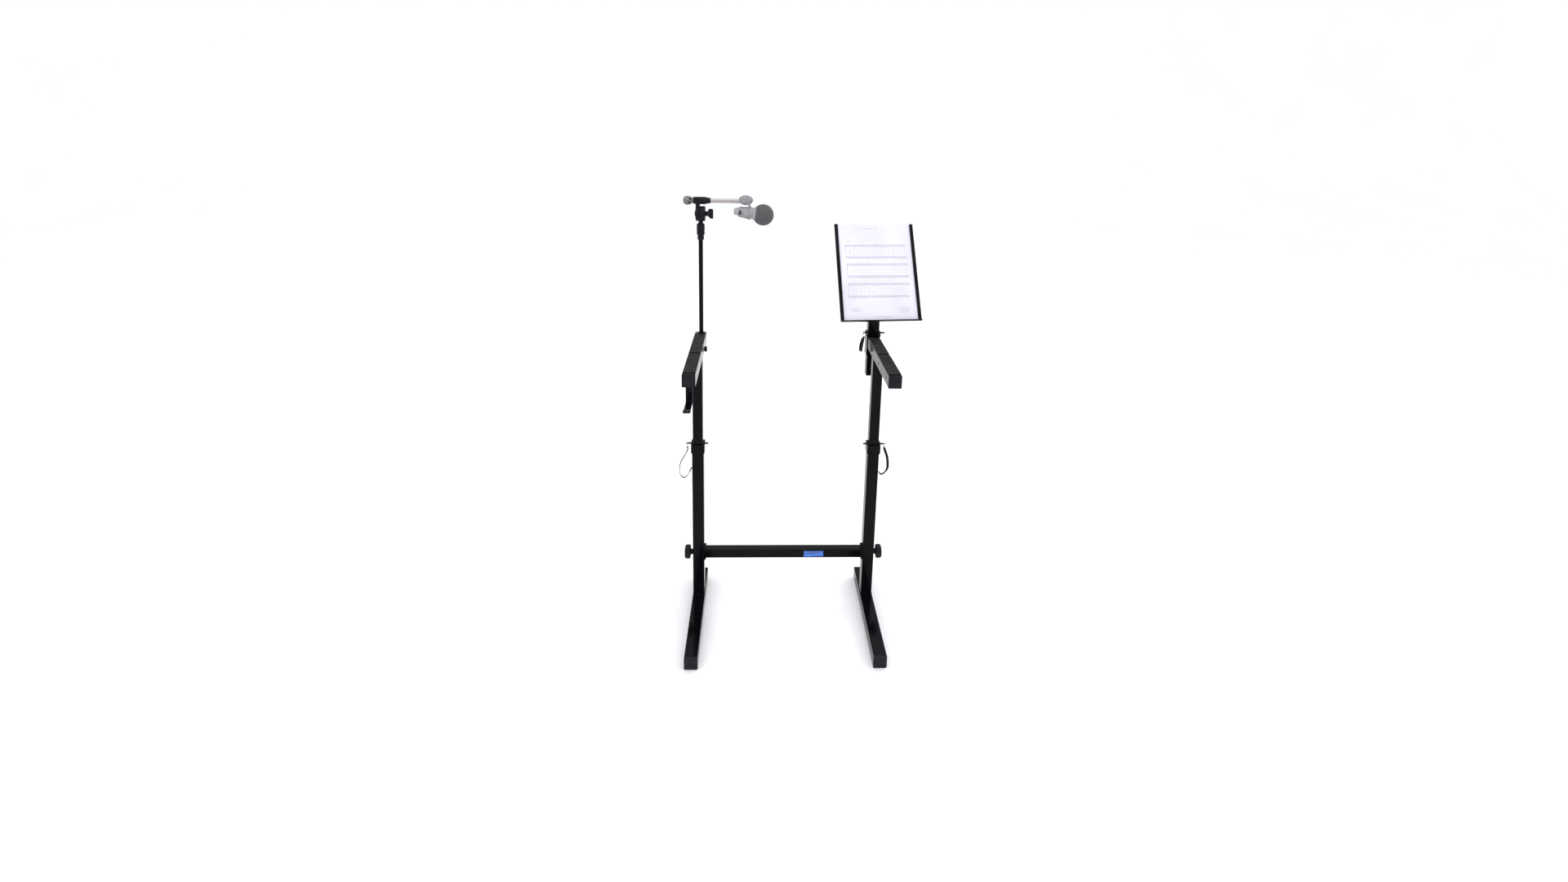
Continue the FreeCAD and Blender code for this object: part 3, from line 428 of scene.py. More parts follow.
def sweep(mesh_data, points, section, across, closed=False, stretch=None):
    """Runs a section along points (metres). across is one vector, or one for each point; stretch
    gives a thickness factor for each point. Faces get a UV of metres along and across."""
    count = len(points)
    weave = mesh_data.loops.layers.uv.verify()
    run = [0.0]
    for one, other in zip(points, points[1:]):
        run.append(run[-1] + (other - one).length)
    rings = []
    for n, point in enumerate(points):
        before = points[n - 1] if n or closed else point
        after = points[(n + 1) % count] if n < count - 1 or closed else point
        ahead = (after - before).normalized()
        wanted = across[n] if isinstance(across, list) else across
        side = (wanted - ahead * wanted.dot(ahead)).normalized()
        up = ahead.cross(side)
        thick = stretch[n] if stretch else 1
        rings.append([mesh_data.verts.new(point + (side * a + up * (b * thick)) * MM)
                      for a, b in section])
    pairs = list(range(count - 1)) + ([count - 1] if closed else [])
    for n in pairs:
        one, other = rings[n], rings[(n + 1) % count]
        reach = run[n + 1] if n + 1 < count else run[n] + (points[0] - points[n]).length
        for k in range(len(section)):
            m = (k + 1) % len(section)
            face = mesh_data.faces.new((one[k], one[m], other[m], other[k]))
            spots = ((run[n], k), (run[n], m), (reach, m), (reach, k))
            for loop, (along, corner) in zip(face.loops, spots):
                loop[weave].uv = (along, section[corner][0] * MM)
    if not closed:
        for ring in (rings[0], rings[-1]):
            mesh_data.faces.new(ring)


def circle_points(centre, radius, axis, steps=40, turns=1.0, pitch=0.0):
    """Points round an axis, in metres; pitch in millimetres a turn makes a helix."""
    place = facing(centre, axis)
    points = []
    total = int(steps * turns)
    for n in range(total):
        angle = 2 * math.pi * n / steps
        rise = pitch * (n / steps - turns / 2)
        spot = Vector((radius * math.cos(angle), radius * math.sin(angle), rise))
        points.append(place @ (spot * MM))
    return points


# ---- camera ----

CAMERA_SPOT = (-0.09401, -1.88155, 1.46105)
CAMERA_TURN = (0.0391, 0.2185, 0.0208)  # yaw, pitch down and roll, in radians
CAMERA_LENS = 15.428


def photo_camera():
    """Sees the stand from in front, a little left of its middle and from above the arms."""
    yaw, pitch, roll = CAMERA_TURN
    forward = Vector((math.sin(yaw) * math.cos(pitch), math.cos(yaw) * math.cos(pitch),
                      -math.sin(pitch)))
    level = Vector((math.cos(yaw), -math.sin(yaw), 0))
    above = level.cross(forward)
    right = math.cos(roll) * level + math.sin(roll) * above
    up = -math.sin(roll) * level + math.cos(roll) * above
    turn_to = Matrix((right, up, -forward)).transposed().to_4x4()
    camera = bpy.data.objects.new("camera", bpy.data.cameras.new("camera"))
    camera.matrix_world = Matrix.Translation(CAMERA_SPOT) @ turn_to
    camera.data.sensor_width = 36
    camera.data.lens = CAMERA_LENS
    camera.data.shift_x = 0.0009
    camera.data.shift_y = -0.1
    bpy.context.scene.collection.objects.link(camera)
    bpy.context.scene.camera = camera


photo_camera()


# ---- pin lanyards ----

STRAP_WIDE, STRAP_THICK = 8, 1.4
SEWN = 0.013  # metres of a sewn end, which is DOUBLED times as thick
DOUBLED = 1.9

# The straps' control points, in metres; each side's strap is two lengths that meet.

left_upper = [(-0.2958, 0, 0.5319), (-0.302, 0, 0.514), (-0.317, 0, 0.492), (-0.3235, 0, 0.466),
              (-0.3215, 0, 0.4527)]
left_lower = [(-0.3215, 0, 0.4527), (-0.3202, 0, 0.4441), (-0.3095, 0, 0.4335), (-0.298, 0, 0.4415),
              (-0.2923, 0, 0.455), (-0.2864, 0, 0.467)]
right_upper = [(0.302, 0.008, 0.5305), (0.3075, 0.005, 0.516), (0.3125, 0.001, 0.5),
               (0.3136, -0.0004, 0.4836)]
right_lower = [(0.3136, -0.0004, 0.4836), (0.3144, -0.0014, 0.4721), (0.308, -0.003, 0.4575),
               (0.2975, -0.004, 0.45), (0.2898, -0.0035, 0.4505), (0.2864, -0.002, 0.457)]
holder_loop = [(0.236, 0.0975, 0.8525), (0.233, 0.093, 0.84), (0.231, 0.09, 0.829),
               (0.23, 0.09, 0.8195), (0.23, 0.095, 0.811), (0.23, 0.105, 0.811),
               (0.23, 0.11, 0.8195), (0.231, 0.11, 0.829), (0.233, 0.107, 0.84),
               (0.236, 0.1025, 0.852)]


def smooth_line(route):
    """Points read from the NURBS curve that has the route as its control points."""
    curve = bpy.data.curves.new("route", "CURVE")
    curve.dimensions = "3D"
    spline = curve.splines.new("NURBS")
    spline.points.add(len(route) - 1)
    for control, spot in zip(spline.points, route):
        control.co = (*spot, 1)
    spline.order_u = 3
    spline.use_endpoint_u = True
    spline.resolution_u = 14
    guide = bpy.data.objects.new("route", curve)
    line = bpy.data.meshes.new_from_object(guide)
    points = [vertex.co.copy() for vertex in line.vertices]
    bpy.data.objects.remove(guide)
    bpy.data.curves.remove(curve)
    bpy.data.meshes.remove(line)
    return points


def lanyard(name, route, side, twist, node, sewn=(True, False)):
    """A flat strap; twist(share) turns it about its own length, in degrees. sewn says which of
    its ends are doubled."""
    points = smooth_line(route)
    run = [0.0]
    for one, other in zip(points, points[1:]):
        run.append(run[-1] + (other - one).length)
    across, thick = [], []
    for n, point in enumerate(points):
        after = points[min(n + 1, len(points) - 1)]
        before = points[max(n - 1, 0)]
        ahead = (after - before).normalized()
        across.append(Matrix.Rotation(math.radians(twist(run[n] / run[-1])), 3, ahead) @ side)
        doubled = (sewn[0] and run[n] < SEWN) or (sewn[1] and run[-1] - run[n] < SEWN)
        thick.append(DOUBLED if doubled else 1)
    shape = bmesh.new()
    sweep(shape, points, strap_section(STRAP_WIDE, STRAP_THICK), across, stretch=thick)
    made = piece(name, shape, black_webbing, None, [node], 50)
    return made


def eased(share):
    """A share from 0 to 1 with a slow start and end."""
    return share * share * (3 - 2 * share)


left_top = lanyard("pin_strap_left_upper", left_upper, Y, lambda share: -14 * eased(share),
                   "left_lanyard_upper")
left_bottom = lanyard("pin_strap_left_lower", left_lower, Y, lambda share: -14 * (1 - eased(share)),
                      "left_lanyard_lower", (False, True))
right_top = lanyard("pin_strap_right_upper", right_upper, Y, lambda share: -66 - 6 * eased(share),
                    "right_lanyard_upper")
right_bottom = lanyard("pin_strap_right_lower", right_lower, Y,
                       lambda share: -72 * (1 - eased(min(1, share * 1.7))),
                       "right_lanyard_lower", (False, True))
holder_strap = lanyard("pin_strap_holder", holder_loop, X,
                       lambda share: 12 * math.sin(math.pi * share),
                       "holder_lanyard", (True, True))
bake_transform(left_top)
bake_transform(left_bottom)
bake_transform(right_top)
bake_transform(right_bottom)
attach(holder_strap, "holder_pin")


# ---- lock pins with their split rings ----

EYE_RADIUS, EYE_WIRE, SHANK_RADIUS = 2.8, 1.1, 2.6


def lock_pin(body, node, collar, shank, ring_radius, strap_start):
    """A pin with a chamfered tip, a welded eye, a two-coil split ring and the strap's sewn loop.
    The right pin's eye lies flat, so that its ring stands up through it; the others' rings hang."""
    low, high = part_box(node)
    flat = body == "right_pin"
    outward = 1 if flat else -1
    axis_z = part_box(collar)[1].z / MM - 7
    axis_y = middle(collar).y / MM
    tip_x = (low.x if flat else high.x) / MM
    eye_x = tip_x + outward * (shank + EYE_RADIUS)
    tip = facing(at(tip_x, axis_y, axis_z), X * outward)
    shape = bmesh.new()
    pin_outline = [(0, 0), (0, 1.5), (1.4, SHANK_RADIUS), (shank - 0.4, SHANK_RADIUS), (shank, 2),
                   (shank, 0)]
    turn(shape, tip, pin_outline, 28)
    turn(shape, tip, [(4, 2.6), (4.3, 2.68), (5.1, 2.68), (5.4, 2.6)], 28)
    eye = circle_points(at(eye_x, axis_y, axis_z), EYE_RADIUS, Z if flat else Y)
    sweep(shape, eye, round_section(EYE_WIRE, 12), Z if flat else Y, closed=True)
    weld = facing(at(eye_x - outward * 4.2, axis_y, axis_z), X * outward)
    turn(shape, weld, [(-1.8, 2.6), (-0.9, 3.0), (0.4, 2.7), (1.2, 1.8), (1.7, 1.1)], 20)
    piece(body + "_forging", shape, pin_steel, body, [node], 40)

    centre = at(eye_x, axis_y, axis_z - EYE_RADIUS + EYE_WIRE + 1.1 - ring_radius)
    if flat:
        centre = at(eye_x + 0.433 * ring_radius, axis_y + 0.75 * ring_radius,
                    axis_z - 0.5 * ring_radius)
    normal = Vector((0.866 * outward, -0.5, 0)).normalized()
    coils = circle_points(centre, ring_radius, normal, 44, 1.93, 1.05)
    shape = bmesh.new()
    sweep(shape, coils, round_section(0.5, 8), normal)
    piece(body + "_split_ring", shape, ring_steel, body, (), 60)

    wire = centre - Z * ring_radius * MM
    along_wire = normal.cross(Z)
    loop = []
    for step in range(15):
        angle = math.radians(-75 + 330 * step / 14)
        loop.append(wire + (normal * math.cos(angle) + Z * math.sin(angle)) * 1.6 * MM)
    start = Vector(strap_start)
    shape = bmesh.new()
    sweep(shape, [start] + loop + [start + normal * 0.4 * MM], strap_section(7.6, 0.9), along_wire)
    piece(body + "_strap_eye", shape, black_webbing, body, (), 50)


lock_pin("left_pin", "left_lock_pin", "left_collar", 60, 7, left_upper[0])
lock_pin("right_pin", "right_lock_pin", "right_collar", 60, 11, right_upper[0])
lock_pin("holder_pin", "holder_lock_pin", "holder_collar", 61, 7, holder_loop[0])


# ---- weld beads where tubes are joined ----

def weld_bead(name, centre, half, normal, body, radius=1.5):
    """An uneven bead round a square tube, lying on the face that it is welded to."""
    place = facing(centre, normal)
    corners = [(-half, -half), (half, -half), (half, half), (-half, half)]
    points = []
    steps = 16
    for (ax, ay), (bx, by) in zip(corners, corners[1:] + corners[:1]):
        for step in range(steps):
            share = 0.04 + 0.92 * step / (steps - 1)
            wobble = 1 + dice.uniform(-0.012, 0.012)
            x = (ax + (bx - ax) * share) * wobble
            y = (ay + (by - ay) * share) * wobble
            points.append(place @ (Vector((x, y, 0.3)) * MM))
    shape = bmesh.new()
    swell = [1 + dice.uniform(-0.2, 0.25) for _ in points]
    sweep(shape, points, round_section(radius, 8), place.to_3x3() @ Z, closed=True, stretch=swell)
    piece(name, shape, frame_black, body, (), 60)


for side in ("left", "right"):
    post = middle(side + "_upright")
    foot_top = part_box(side + "_foot")[1].z
    weld_bead(side + "_foot_weld", (post.x, post.y, foot_top), 17.4, Z, "frame")
    riser = middle(side + "_riser_tube")
    arm_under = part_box(side + "_arm")[0].z
    weld_bead(side + "_arm_weld", (riser.x, riser.y, arm_under), 15.2, -Z, side + "_riser", 1.3)
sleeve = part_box("holder_sleeve")
arm = middle("right_arm")
weld_bead("sleeve_weld", (arm.x, sleeve[0].y, arm.z), 17.4, -Y, "right_riser", 1.3)


# ---- arm pads ----

def ribbed_pad(side):
    """Two rubber pads with fine ribs that run along the arm."""
    low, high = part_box(side + "_arm_pads")
    thick = (high.z - low.z) / MM
    half = (high.x - low.x) / MM / 2
    ribs, rib_margin, groove = 14, 0.8, 0.35
    pitch = 2 * (half - rib_margin) / ribs
    outline = [(-half, 0), (-half, thick - 0.9), (-half + 0.5, thick - groove)]
    for rib in range(ribs):
        left = -half + rib_margin + rib * pitch
        outline += [(left + pitch * 0.1, thick - groove), (left + pitch * 0.28, thick),
                    (left + pitch * 0.72, thick), (left + pitch * 0.9, thick - groove)]
    outline += [(half - 0.5, thick - groove), (half, thick - 0.9), (half, 0)]
    gap = 15
    split = -94.5
    shape = bmesh.new()
    for start, end in ((low.y / MM, split - gap / 2), (split + gap / 2, high.y / MM)):
        corner = at(middle(side + "_arm_pads").x / MM, start, low.z / MM)
        place = Matrix(((1, 0, 0, corner.x), (0, 0, 1, corner.y), (0, 1, 0, corner.z),
                        (0, 0, 0, 1)))
        slab(shape, place, outline, 0, end - start)
    piece(side + "_pads_ribbed", shape, pad_rubber, side + "_riser", [side + "_arm_pads"],
          20)


ribbed_pad("left")
ribbed_pad("right")


# ---- crossbar knobs and thumb knob ----

KNOB_DEEP = 26
THREAD_PITCH = 1.25


def crossbar_knob(side):
    """A scalloped knob with a dished face on a threaded stud."""
    outward = 1 if side == "right" else -1
    node = side + "_crossbar_knob"
    low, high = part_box(node)
    far = high.x if outward > 0 else low.x
    centre = middle(node)
    place = facing((far - outward * KNOB_DEEP * MM, centre.y, centre.z), X * outward)
    shape = bmesh.new()
    hub = rounded([(0.1, 4.1), (0.1, 8), (8, 8.6), (9, 14)], 0.8)
    rim = rounded([(9, 14), (8.2, 19), (11, 21), (22.5, 21), (KNOB_DEEP, 17.5), (25.4, 12),
                   (24.6, 0)], 1.6)
    turn(shape, place, hub, 96)
    turn(shape, place, rim, 96, (12, 1.3, 8.8, 25.9))
    turn(shape, place, rounded([(24.6, 7.5), (25.7, 7.2), (25.9, 0)], 0.5), 48)
    piece(side + "_knob_scalloped", shape, knob_plastic, side + "_knob", [node],
          30)
    stud = bmesh.new()
    length = (high.x - low.x) / MM - 10
    inner = facing((far - outward * (high.x - low.x), centre.y, centre.z), X * outward)
    thread = [(0, 0), (0, 3.2), (1, 3.9)]
    turns = int((length - 4) / THREAD_PITCH)
    for number in range(turns):
        thread += [(1.4 + number * THREAD_PITCH, 3.95), (2.0 + number * THREAD_PITCH, 3.45)]
    turn(stud, inner, thread + [(length, 3.9), (length, 0)], 24)
    piece(side + "_knob_stud", stud, zinc, side + "_knob", (), 20)


crossbar_knob("left")
crossbar_knob("right")


def thumb_knob():
    """A knurled thumb screw with its washer, on the left arm's inner side."""
    node = "left_thumb_knob"
    low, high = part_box(node)
    centre = middle(node)
    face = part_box("left_arm")[1].x
    place = facing((face, centre.y, centre.z), X)
    tall = (high.x - face) / MM
    shape = bmesh.new()
    head = rounded([(1.65, 4), (1.65, 5.5), (3, 5.5), (3.1, 8), (tall, 8), (tall, 0)], 0.9)
    turn(shape, place, head, 96, (24, 0.5, 3.4, tall - 0.7))
    piece("thumb_knob_knurled", shape, knob_plastic, "thumb_knob", [node], 30)
    shape = bmesh.new()
    washer = rounded([(0.05, 4.1), (0.05, 9), (1.5, 9), (1.5, 4.1), (0.05, 4.1)], 0.3)
    turn(shape, place, washer, 48)
    tip = (low.x - face) / MM
    turn(shape, place, [(tip, 0), (tip, 3), (tip + 0.8, 3.85), (4, 3.85), (4, 0)], 32)
    piece("thumb_washer_and_stud", shape, zinc, "thumb_knob", (), 30)


thumb_knob()


# ---- headphone hook ----

def headphone_hook():
    """A bent strip with rounded bends and a rubber sleeve on its turned-up lip."""
    low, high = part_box("headphone_hook")
    x = (low.x + high.x) / 2 / MM
    top = high.z / MM
    half = 1.25  # of the strip's thickness
    ledge = low.z / MM + half
    drop, tip_y = -245.75, -315.25
    strip = [(-212, top - half), (drop, top - half), (drop, ledge), (tip_y, ledge), (tip_y, 788)]
    path = [at(x, y, z) for y, z in rounded(strip, 6, 8)]
    shape = bmesh.new()
    section = [(-9, -1.0), (-8.7, -half), (8.7, -half), (9, -1.0), (9, 1.0), (8.7, half),
               (-8.7, half), (-9, 1.0)]
    sweep(shape, path, section, X)
    piece("hook_strip_bent", shape, frame_black, "left_riser", ["headphone_hook"],
          30)
    lip = rounded([(-296, ledge), (tip_y, ledge), (tip_y, 788.3)], 3.5, 6)
    tip = [at(x, y, z) for y, z in lip]
    shape = bmesh.new()
    sleeve_section = [(a * 1.02, b * 1.5) for a, b in section]
    sweep(shape, tip, sleeve_section, X)
    piece("hook_tip_sleeve", shape, glide_rubber, "left_riser", (), 30)
    shape = bmesh.new()
    for y in (-220, -236):
        under = facing(at(x, y, top - 2 * half), -Z)
        turn(shape, under, rounded([(0, 3.6), (0.9, 3.5), (1.7, 2.2), (1.7, 1.3)], 0.4), 24)
        turn(shape, under, [(1.7, 1.3), (1.0, 1.1), (1.0, 0)], 6)
        turn(shape, under, [(-6.3, 0), (-6.3, 1.9), (0, 1.9)], 16)
    piece("hook_screws_socket", shape, zinc, "left_riser", ["hook_screws"], 30)


headphone_hook()


# ---- microphone boom ----

pole = middle("mic_pole")


def clutch():
    """The pole's fluted ring and the clutch's grip sleeve."""
    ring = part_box("clutch_ring")
    shape = bmesh.new()
    outline = [(0, 6.6), (0, 8.5), (2, 9.5), (13, 9.5), (15, 8.4), (15, 6.6)]
    place = facing((pole.x, pole.y, ring[0].z), Z)
    turn(shape, place, rounded(outline, 0.7), 120, (20, 0.7, 1.5, 13.4))
    piece("clutch_ring_fluted", shape, boom_plastic, "pole", ["clutch_ring"], 30)
    sleeve_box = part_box("clutch_sleeve")
    tall = (sleeve_box[1].z - sleeve_box[0].z) / MM
    outline = [(0, 6.7), (0, 10.6), (1.8, 12), (9, 12), (9.6, 11.5), (11.4, 11.5), (12, 12),
               (29, 12), (31.5, 11.8), (tall, 9.4), (tall, 5.2)]
    shape = bmesh.new()
    place = facing((pole.x, pole.y, sleeve_box[0].z), Z)
    turn(shape, place, rounded(outline, 0.6), 120, (30, 0.35, 12.6, 28.4))
    piece("clutch_sleeve_grip", shape, boom_plastic, "clutch", ["clutch_sleeve"],
          30)


clutch()


def wing_knob():
    """The boom's tilt knob: a round hub and a flat blade."""
    low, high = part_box("boom_wing_knob")
    tilt = Vector(joint("boom_tilt")["pos_m"])
    place = facing((low.x, tilt.y, tilt.z), X)
    reach = (high.x - low.x) / MM
    shape = bmesh.new()
    turn(shape, place, rounded([(0.05, 4.1), (0.05, 7.5), (9, 7.2), (15, 6), (15, 0)], 0.8), 40)
    piece("wing_knob_hub", shape, boom_plastic, "wing_knob", (), 30)
    place = Matrix.Translation((low.x, tilt.y, tilt.z)) @ Matrix.Rotation(math.radians(90), 4, "X")
    half_wide, half_thick = 14.4, 4.6
    crown = rounded([(8, 0), (8, half_wide), (reach, half_wide), (reach, 0)], 5.5, 8)
    heel = rounded([(reach, 0), (reach, -half_wide), (15, -half_wide), (8, -8), (8, 0)], 1.4, 4)
    shape = bmesh.new()
    slab(shape, place, crown[:-1] + heel[:-1], -half_thick, half_thick)
    blade = piece("wing_knob_blade", shape, boom_plastic, "wing_knob", ["boom_wing_knob"])
    soften(blade, 1.4)


wing_knob()


def clamp_nut():
    """The fluted nut that clamps the boom tube."""
    low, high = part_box("boom_clamp_nut")
    centre = middle("boom_clamp_nut")
    long = (high.x - low.x) / MM
    shape = bmesh.new()
    outline = [(0, 6.7), (0, 9.6), (0.8, 10.5), (long - 0.8, 10.5), (long, 9.8), (long, 6.7)]
    place = facing((low.x, centre.y, centre.z), X)
    turn(shape, place, rounded(outline, 0.3), 96, (16, 0.8, 0.7, long - 0.7))
    piece("clamp_nut_fluted", shape, boom_plastic, "boom_nut", ["boom_clamp_nut"],
          30)


clamp_nut()


def end_grip():
    """A rounded grip with staggered holes and, on its front, a dark window crossed by a slanted
    band."""
    low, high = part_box("boom_end_grip")
    centre = middle("boom_end_grip")
    long = (high.x - low.x) / MM
    rows, columns = 20, 40
    outline = [(0.05, 1.2)]
    for row in range(1, rows):
        share = row / rows
        along = share * (long - 1.2)
        radius = 13.45 * math.sin(math.pi * (0.06 + 0.86 * share ** 0.85)) ** 0.55
        outline.append((along, max(radius, 2)))
    outline += [(long - 0.8, 8.2), (long, 7.6), (long, 6.6)]
    shape = bmesh.new()
    turn(shape, facing((low.x, centre.y, centre.z), X), [(0, 0)] + outline, columns)
    shape.faces.index_update()
    holes = []
    for face in shape.faces:
        spot = face.calc_center_median() - Vector((low.x, centre.y, centre.z))
        row = face.index // columns
        column = face.index % columns
        along, high_up = spot.x / MM, spot.z / MM
        window = 16 < along < 25 and abs(high_up) < 8 and spot.y < 0
        band = abs(high_up + (along - 20.5) * 0.9) < 1.9
        pierced = 2 < row < rows - 1 and row % 2 == 0 and (column + row // 2) % 2 == 0
        if (window and not band) or (pierced and not window):
            holes.append(face)
    bmesh.ops.inset_individual(shape, faces=holes, thickness=0.12 * MM)
    for face in holes:
        face.material_index = 1
        sink = face.normal * 0.8 * MM
        for vertex in face.verts:
            vertex.co -= sink
    piece("end_grip_perforated", shape, [grip_cover, grip_hole], "boom", ["boom_end_grip"],
          40)


end_grip()


def tilt_details():
    """The tilt bolt's head and the toothed ring between the swivel's two discs."""
    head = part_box("boom_clamp_head")
    tilt = Vector(joint("boom_tilt")["pos_m"])
    shape = bmesh.new()
    outer = facing((head[0].x + 0.2 * MM, tilt.y, tilt.z), -X)
    turn(shape, outer, [(-0.2, 6.2), (0.15, 6.2), (0.15, 3.4)], 6)
    turn(shape, outer, [(0.15, 3.4), (-1.2, 3.2), (-1.2, 0)], 24)
    piece("tilt_bolt_socket", shape, pin_steel, "boom_head", (), 30)
    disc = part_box("boom_tilt_base")
    shape = bmesh.new()
    rim = facing((disc[1].x, tilt.y, tilt.z), X)
    teeth = rounded([(-0.4, 17), (0.05, 16.6), (0.05, 12.4), (-0.4, 12)], 0.2)
    turn(shape, rim, teeth, 96, (24, 0.5, -0.1, 0.2))
    piece("swivel_disc_ring", shape, boom_plastic, "boom_base", (), 30)


tilt_details()


# ---- microphone and its clip ----

mic_axis = Vector(joint("mic_slide")["axis"]).normalized()
MIC_ORIGIN = at(-121, 105, 1234)


def on_mic(along):
    """A place on the microphone's axis, along millimetres from MIC_ORIGIN."""
    return facing(MIC_ORIGIN + mic_axis * along * MM, mic_axis)


def microphone():
    """The tapered handle, the collar ring under the grille and the plate on the tail."""
    place = on_mic(0)
    outline = [(-44, 0), (-44, 6.5), (-43.2, 8.9), (-41, 10.4), (-30, 11.7), (10.6, 16.6),
               (11.2, 16.2), (12, 17), (14.4, 18.6), (15, 18.1), (15.8, 18.1), (16.4, 19.4),
               (21.6, 20.4), (22, 19.6), (22, 0)]
    shape = bmesh.new()
    turn(shape, place, rounded(outline, 0.5, 3), 72)
    piece("mic_handle_turned", shape, pale_paint, "microphone", ["mic_handle"], 30)
    shape = bmesh.new()
    turn(shape, place, rounded([(22, 19.6), (22.2, 22.3), (25.6, 22.6), (26.4, 23.4)], 0.4), 72)
    turn(shape, place, [(-44.1, 4.2), (-44.3, 4.2), (-44.3, 0)], 24)
    piece("mic_collar_ring", shape, grille_wire, "microphone", (), 30)


microphone()


FOAM_SHARE = 0.965  # of the wire ball's radius


def grille():
    """A woven wire ball over a foam core."""
    radius, centre_along = 31.2, 43.3
    place = on_mic(centre_along)
    collar_angle = math.radians(138)  # from the ball's tip to where it meets the collar
    tip_hole = 0.6
    shape = bmesh.new()
    rows = 34
    outline = []
    for row in range(rows + 1):
        angle = collar_angle * row / rows
        outline.append((radius * math.cos(angle), radius * math.sin(angle) if row else tip_hole))
    turn(shape, place, outline, 84)
    made = piece("grille_woven", shape, grille_wire, "microphone", ["mic_grille"],
                 60)
    wires = made.modifiers.new("wires", "WIREFRAME")
    wires.thickness = 0.9 * MM
    wires.use_even_offset = False
    shape = bmesh.new()
    inner = [(along * FOAM_SHARE, reach * FOAM_SHARE) for along, reach in outline]
    turn(shape, place, [(inner[0][0], 0)] + inner[1:], 48)
    piece("grille_foam_core", shape, grille_foam, "microphone", (), 60)


grille()


def clip_details():
    """A thin dark shell just over the handle inside the clip, which is painted shadow between the
    clip and the handle, and the two rivet heads of its pivot.
    """
    place = on_mic(0)
    shape = bmesh.new()
    # Painted shadow: a dark shell just over the handle where the clip wraps it.
    turn(shape, place, [(-29.6, 12.3), (7.6, 16.9), (7.6, 16.6), (-29.6, 12.0), (-29.6, 12.3)], 60)
    piece("clip_painted_shadow", shape, clip_shadow_paint, "clip", (), 30)
    pivot = Vector(joint("clip_tilt")["pos_m"])
    shape = bmesh.new()
    for direction in (-1, 1):
        near = facing(pivot + Y * direction * 8.2 * MM, Y * direction)
        turn(shape, near, rounded([(0, 2.6), (0.7, 2.5), (1.1, 1.6), (1.1, 0)], 0.3), 24)
    piece("knuckle_rivet_heads", shape, zinc, "boom", (), 30)


clip_details()


# ---- sheet of music ----

DESK_TURN, DESK_LEAN = 5.6, 28  # degrees about the post, and back from upright
DESK_OFFSET = (3.5, 32, 22)  # from the tilt bolt to the panel's front, along the panel's axes
desk_place = (Matrix.Translation(Vector(joint("desk_tilt")["pos_m"]))
              @ Matrix.Rotation(math.radians(DESK_TURN), 4, "Z")
              @ Matrix.Rotation(math.radians(90 - DESK_LEAN), 4, "X")
              @ Matrix.Translation(at(*DESK_OFFSET)))
SHEET_WIDE, SHEET_LOW, SHEET_HIGH = 232, -149.4, 152.6


def bow(x, y):
    """How far the front page stands off the desk: most in its middle and at its top edge."""
    across = 1 - (x / (SHEET_WIDE / 2)) ** 2
    up = (y - SHEET_LOW) / (SHEET_HIGH - SHEET_LOW)
    return 0.62 + 0.5 * across * (0.35 + 0.65 * up)


def pages():
    """Three sheets of paper, one behind the other, each with a front, a back and an edge."""
    shape = bmesh.new()
    columns, rows = 20, 24
    for layer, lift in enumerate((-0.35, -0.2, 0.0)):
        inset = (0.6, 0.3, 0.0)[layer]
        grid = []
        for side, drop in ((0, 0.0), (1, 0.1)):
            sheet = []
            for row in range(rows + 1):
                y = SHEET_LOW + (SHEET_HIGH - SHEET_LOW - inset) * row / rows
                line = []
                for column in range(columns + 1):
                    x = (SHEET_WIDE - 2 * inset) * (column / columns - 0.5)
                    spot = Vector((x, y, bow(x, y) + lift - drop)) * MM
                    line.append(shape.verts.new(desk_place @ spot))
                sheet.append(line)
            grid.append(sheet)
        front, back = grid
        for row in range(rows):
            for column in range(columns):
                for sheet in grid:
                    shape.faces.new((sheet[row][column], sheet[row][column + 1],
                                     sheet[row + 1][column + 1], sheet[row + 1][column]))
        edge = ([(0, c) for c in range(columns)]
                + [(r, columns) for r in range(rows)]
                + [(rows, c) for c in range(columns, 0, -1)]
                + [(r, 0) for r in range(rows, 0, -1)])
        for (r, c), (r2, c2) in zip(edge, edge[1:] + edge[:1]):
            shape.faces.new((front[r][c], front[r2][c2], back[r2][c2], back[r][c]))
    piece("music_pages", shape, paper, "sheet", ["music_sheet"], 60)


pages()


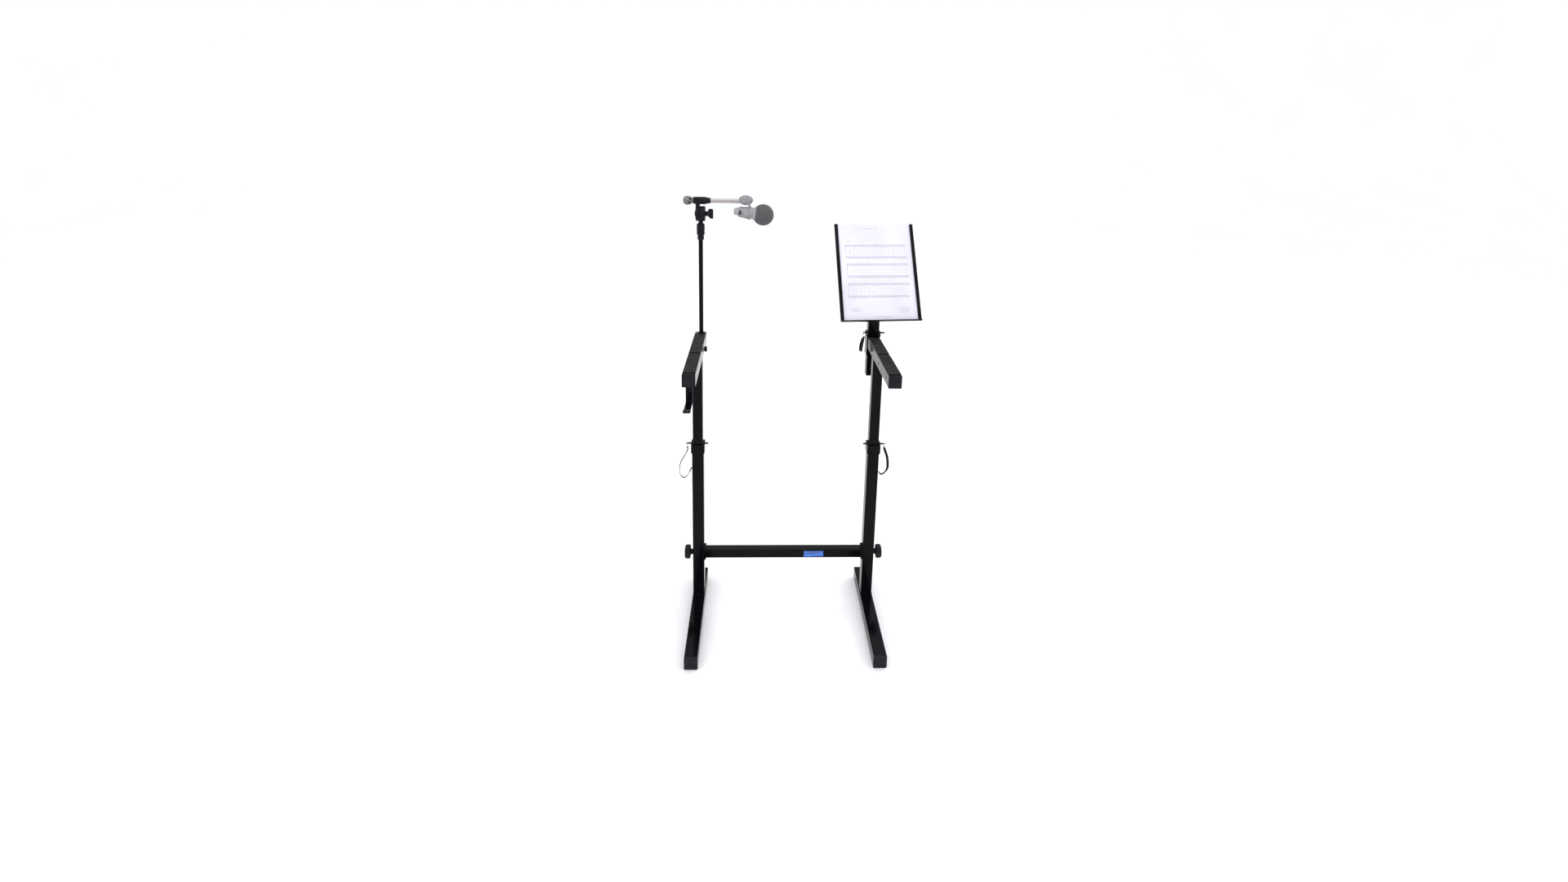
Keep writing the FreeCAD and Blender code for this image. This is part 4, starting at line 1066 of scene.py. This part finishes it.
def print_marks():
    """Plain staves with scattered note heads: no real tune, words or letters."""
    shape = bmesh.new()

    def dab(x, y, wide, high, turned=0.0, corners=4):
        """One flat mark; a mark with four corners is a wide by high box."""
        spin = Matrix.Rotation(math.radians(turned), 2)
        spots = []
        for n in range(corners):
            angle = 2 * math.pi * (n + 0.5) / corners
            grow = 1 / math.cos(math.pi / corners) if corners == 4 else 1
            offset = spin @ Vector((wide / 2 * grow * math.cos(angle),
                                    high / 2 * grow * math.sin(angle)))
            spot = Vector((x + offset.x, y + offset.y, bow(x, y) + 0.04)) * MM
            spots.append(shape.verts.new(desk_place @ spot))
        shape.faces.new(spots)

    staves = (83.4, 46.3, 23.6, -14.3, -37.7, -76.2)
    left, right = -92, 96
    pieces_wide = 12
    for number, y in enumerate(staves):
        for line in range(5):
            step = (right - left) / pieces_wide
            for part in range(pieces_wide):
                dab(left + step * (part + 0.5), y - 3.2 + line * 1.6, step, 0.3)
        for bar in range(5):
            dab(left + (right - left) * bar / 4, y, 0.35, 6.6)
        for note in range(18):
            x = left + 9 + note * 10.1 + dice.uniform(-1.4, 1.4)
            height = y - 3.2 + 0.8 * dice.randint(-1, 9)
            dab(x, height, 1.9, 1.35, 22, 10)
            up = 1 if height < y else -1
            dab(x + 0.85 * up, height + 2.9 * up, 0.28, 5.6)
        if number % 2 == 0:
            dab(left - 0.4, (y + staves[number + 1]) / 2, 0.5, y - staves[number + 1] + 6.6)
            for row in range(3):
                for word in range(15):
                    size = dice.uniform(2.2, 5.5)
                    dab(left + 12 + word * 12.2, y - 12 - row * 6.5, size, 0.5)
    for x, y, wide in ((-8, 139, 46), (-92, 139, 11), (-80, 99, 10), (-82, 64, 6)):
        for dash in range(int(wide / 3)):
            dab(x - wide / 2 + 3 * dash + 1.5, y, dice.uniform(1.6, 2.6), 1.0)
    for x, rows in ((-74, 3), (74, 4)):
        for row in range(rows):
            dab(x + dice.uniform(-3, 3), -112 - row * 4.2, dice.uniform(26, 40), 0.5)
    dab(4, -138, 52, 0.45)
    dab(6, -142, 44, 0.45)
    piece("music_print", shape, ink, "sheet", (), 60)


print_marks()


# ---- studio ----

def studio():
    """A pale floor that curves up into a backdrop, three soft lamps and a pale surround."""
    shape = bmesh.new()
    profile = [(-9, 0), (7, 0), (9, 0.25), (10.4, 1.0), (11.2, 2.4), (11.4, 6.5)]
    rings = []
    for y, z in rounded(profile, 1.6, 8):
        rings.append([shape.verts.new((x, y, z)) for x in (-14, 14)])
    for one, other in zip(rings, rings[1:]):
        shape.faces.new((one[0], one[1], other[1], other[0]))
    backdrop = piece("studio_floor", shape, floor_paint(), None)

    world = bpy.data.worlds.new("studio")
    world.use_nodes = True
    surround = world.node_tree.nodes["Background"]
    surround.inputs["Color"].default_value = (0.96, 0.97, 1.0, 1)
    surround.inputs["Strength"].default_value = 1.1
    bpy.context.scene.world = world
    bpy.context.scene.view_settings.view_transform = "Standard"

    for name, place, target, size, power in (
        ("overhead", (0.3, -0.6, 4.2), (0, 0, 0.6), 3.4, 35),
        ("front_left", (-2.8, -3.2, 2.4), (0, 0, 0.8), 2.2, 20),
        ("back_right", (4.2, 2.2, 3.0), (0, 0, 0.9), 2.4, 60),
    ):
        light = bpy.data.lights.new(name, "AREA")
        light.size = size
        light.energy = power
        lamp = bpy.data.objects.new(name, light)
        aim = (Vector(target) - Vector(place)).to_track_quat("-Z", "Y")
        lamp.matrix_world = Matrix.Translation(place) @ aim.to_matrix().to_4x4()
        lamp.visible_camera = False
        bpy.context.scene.collection.objects.link(lamp)


studio()
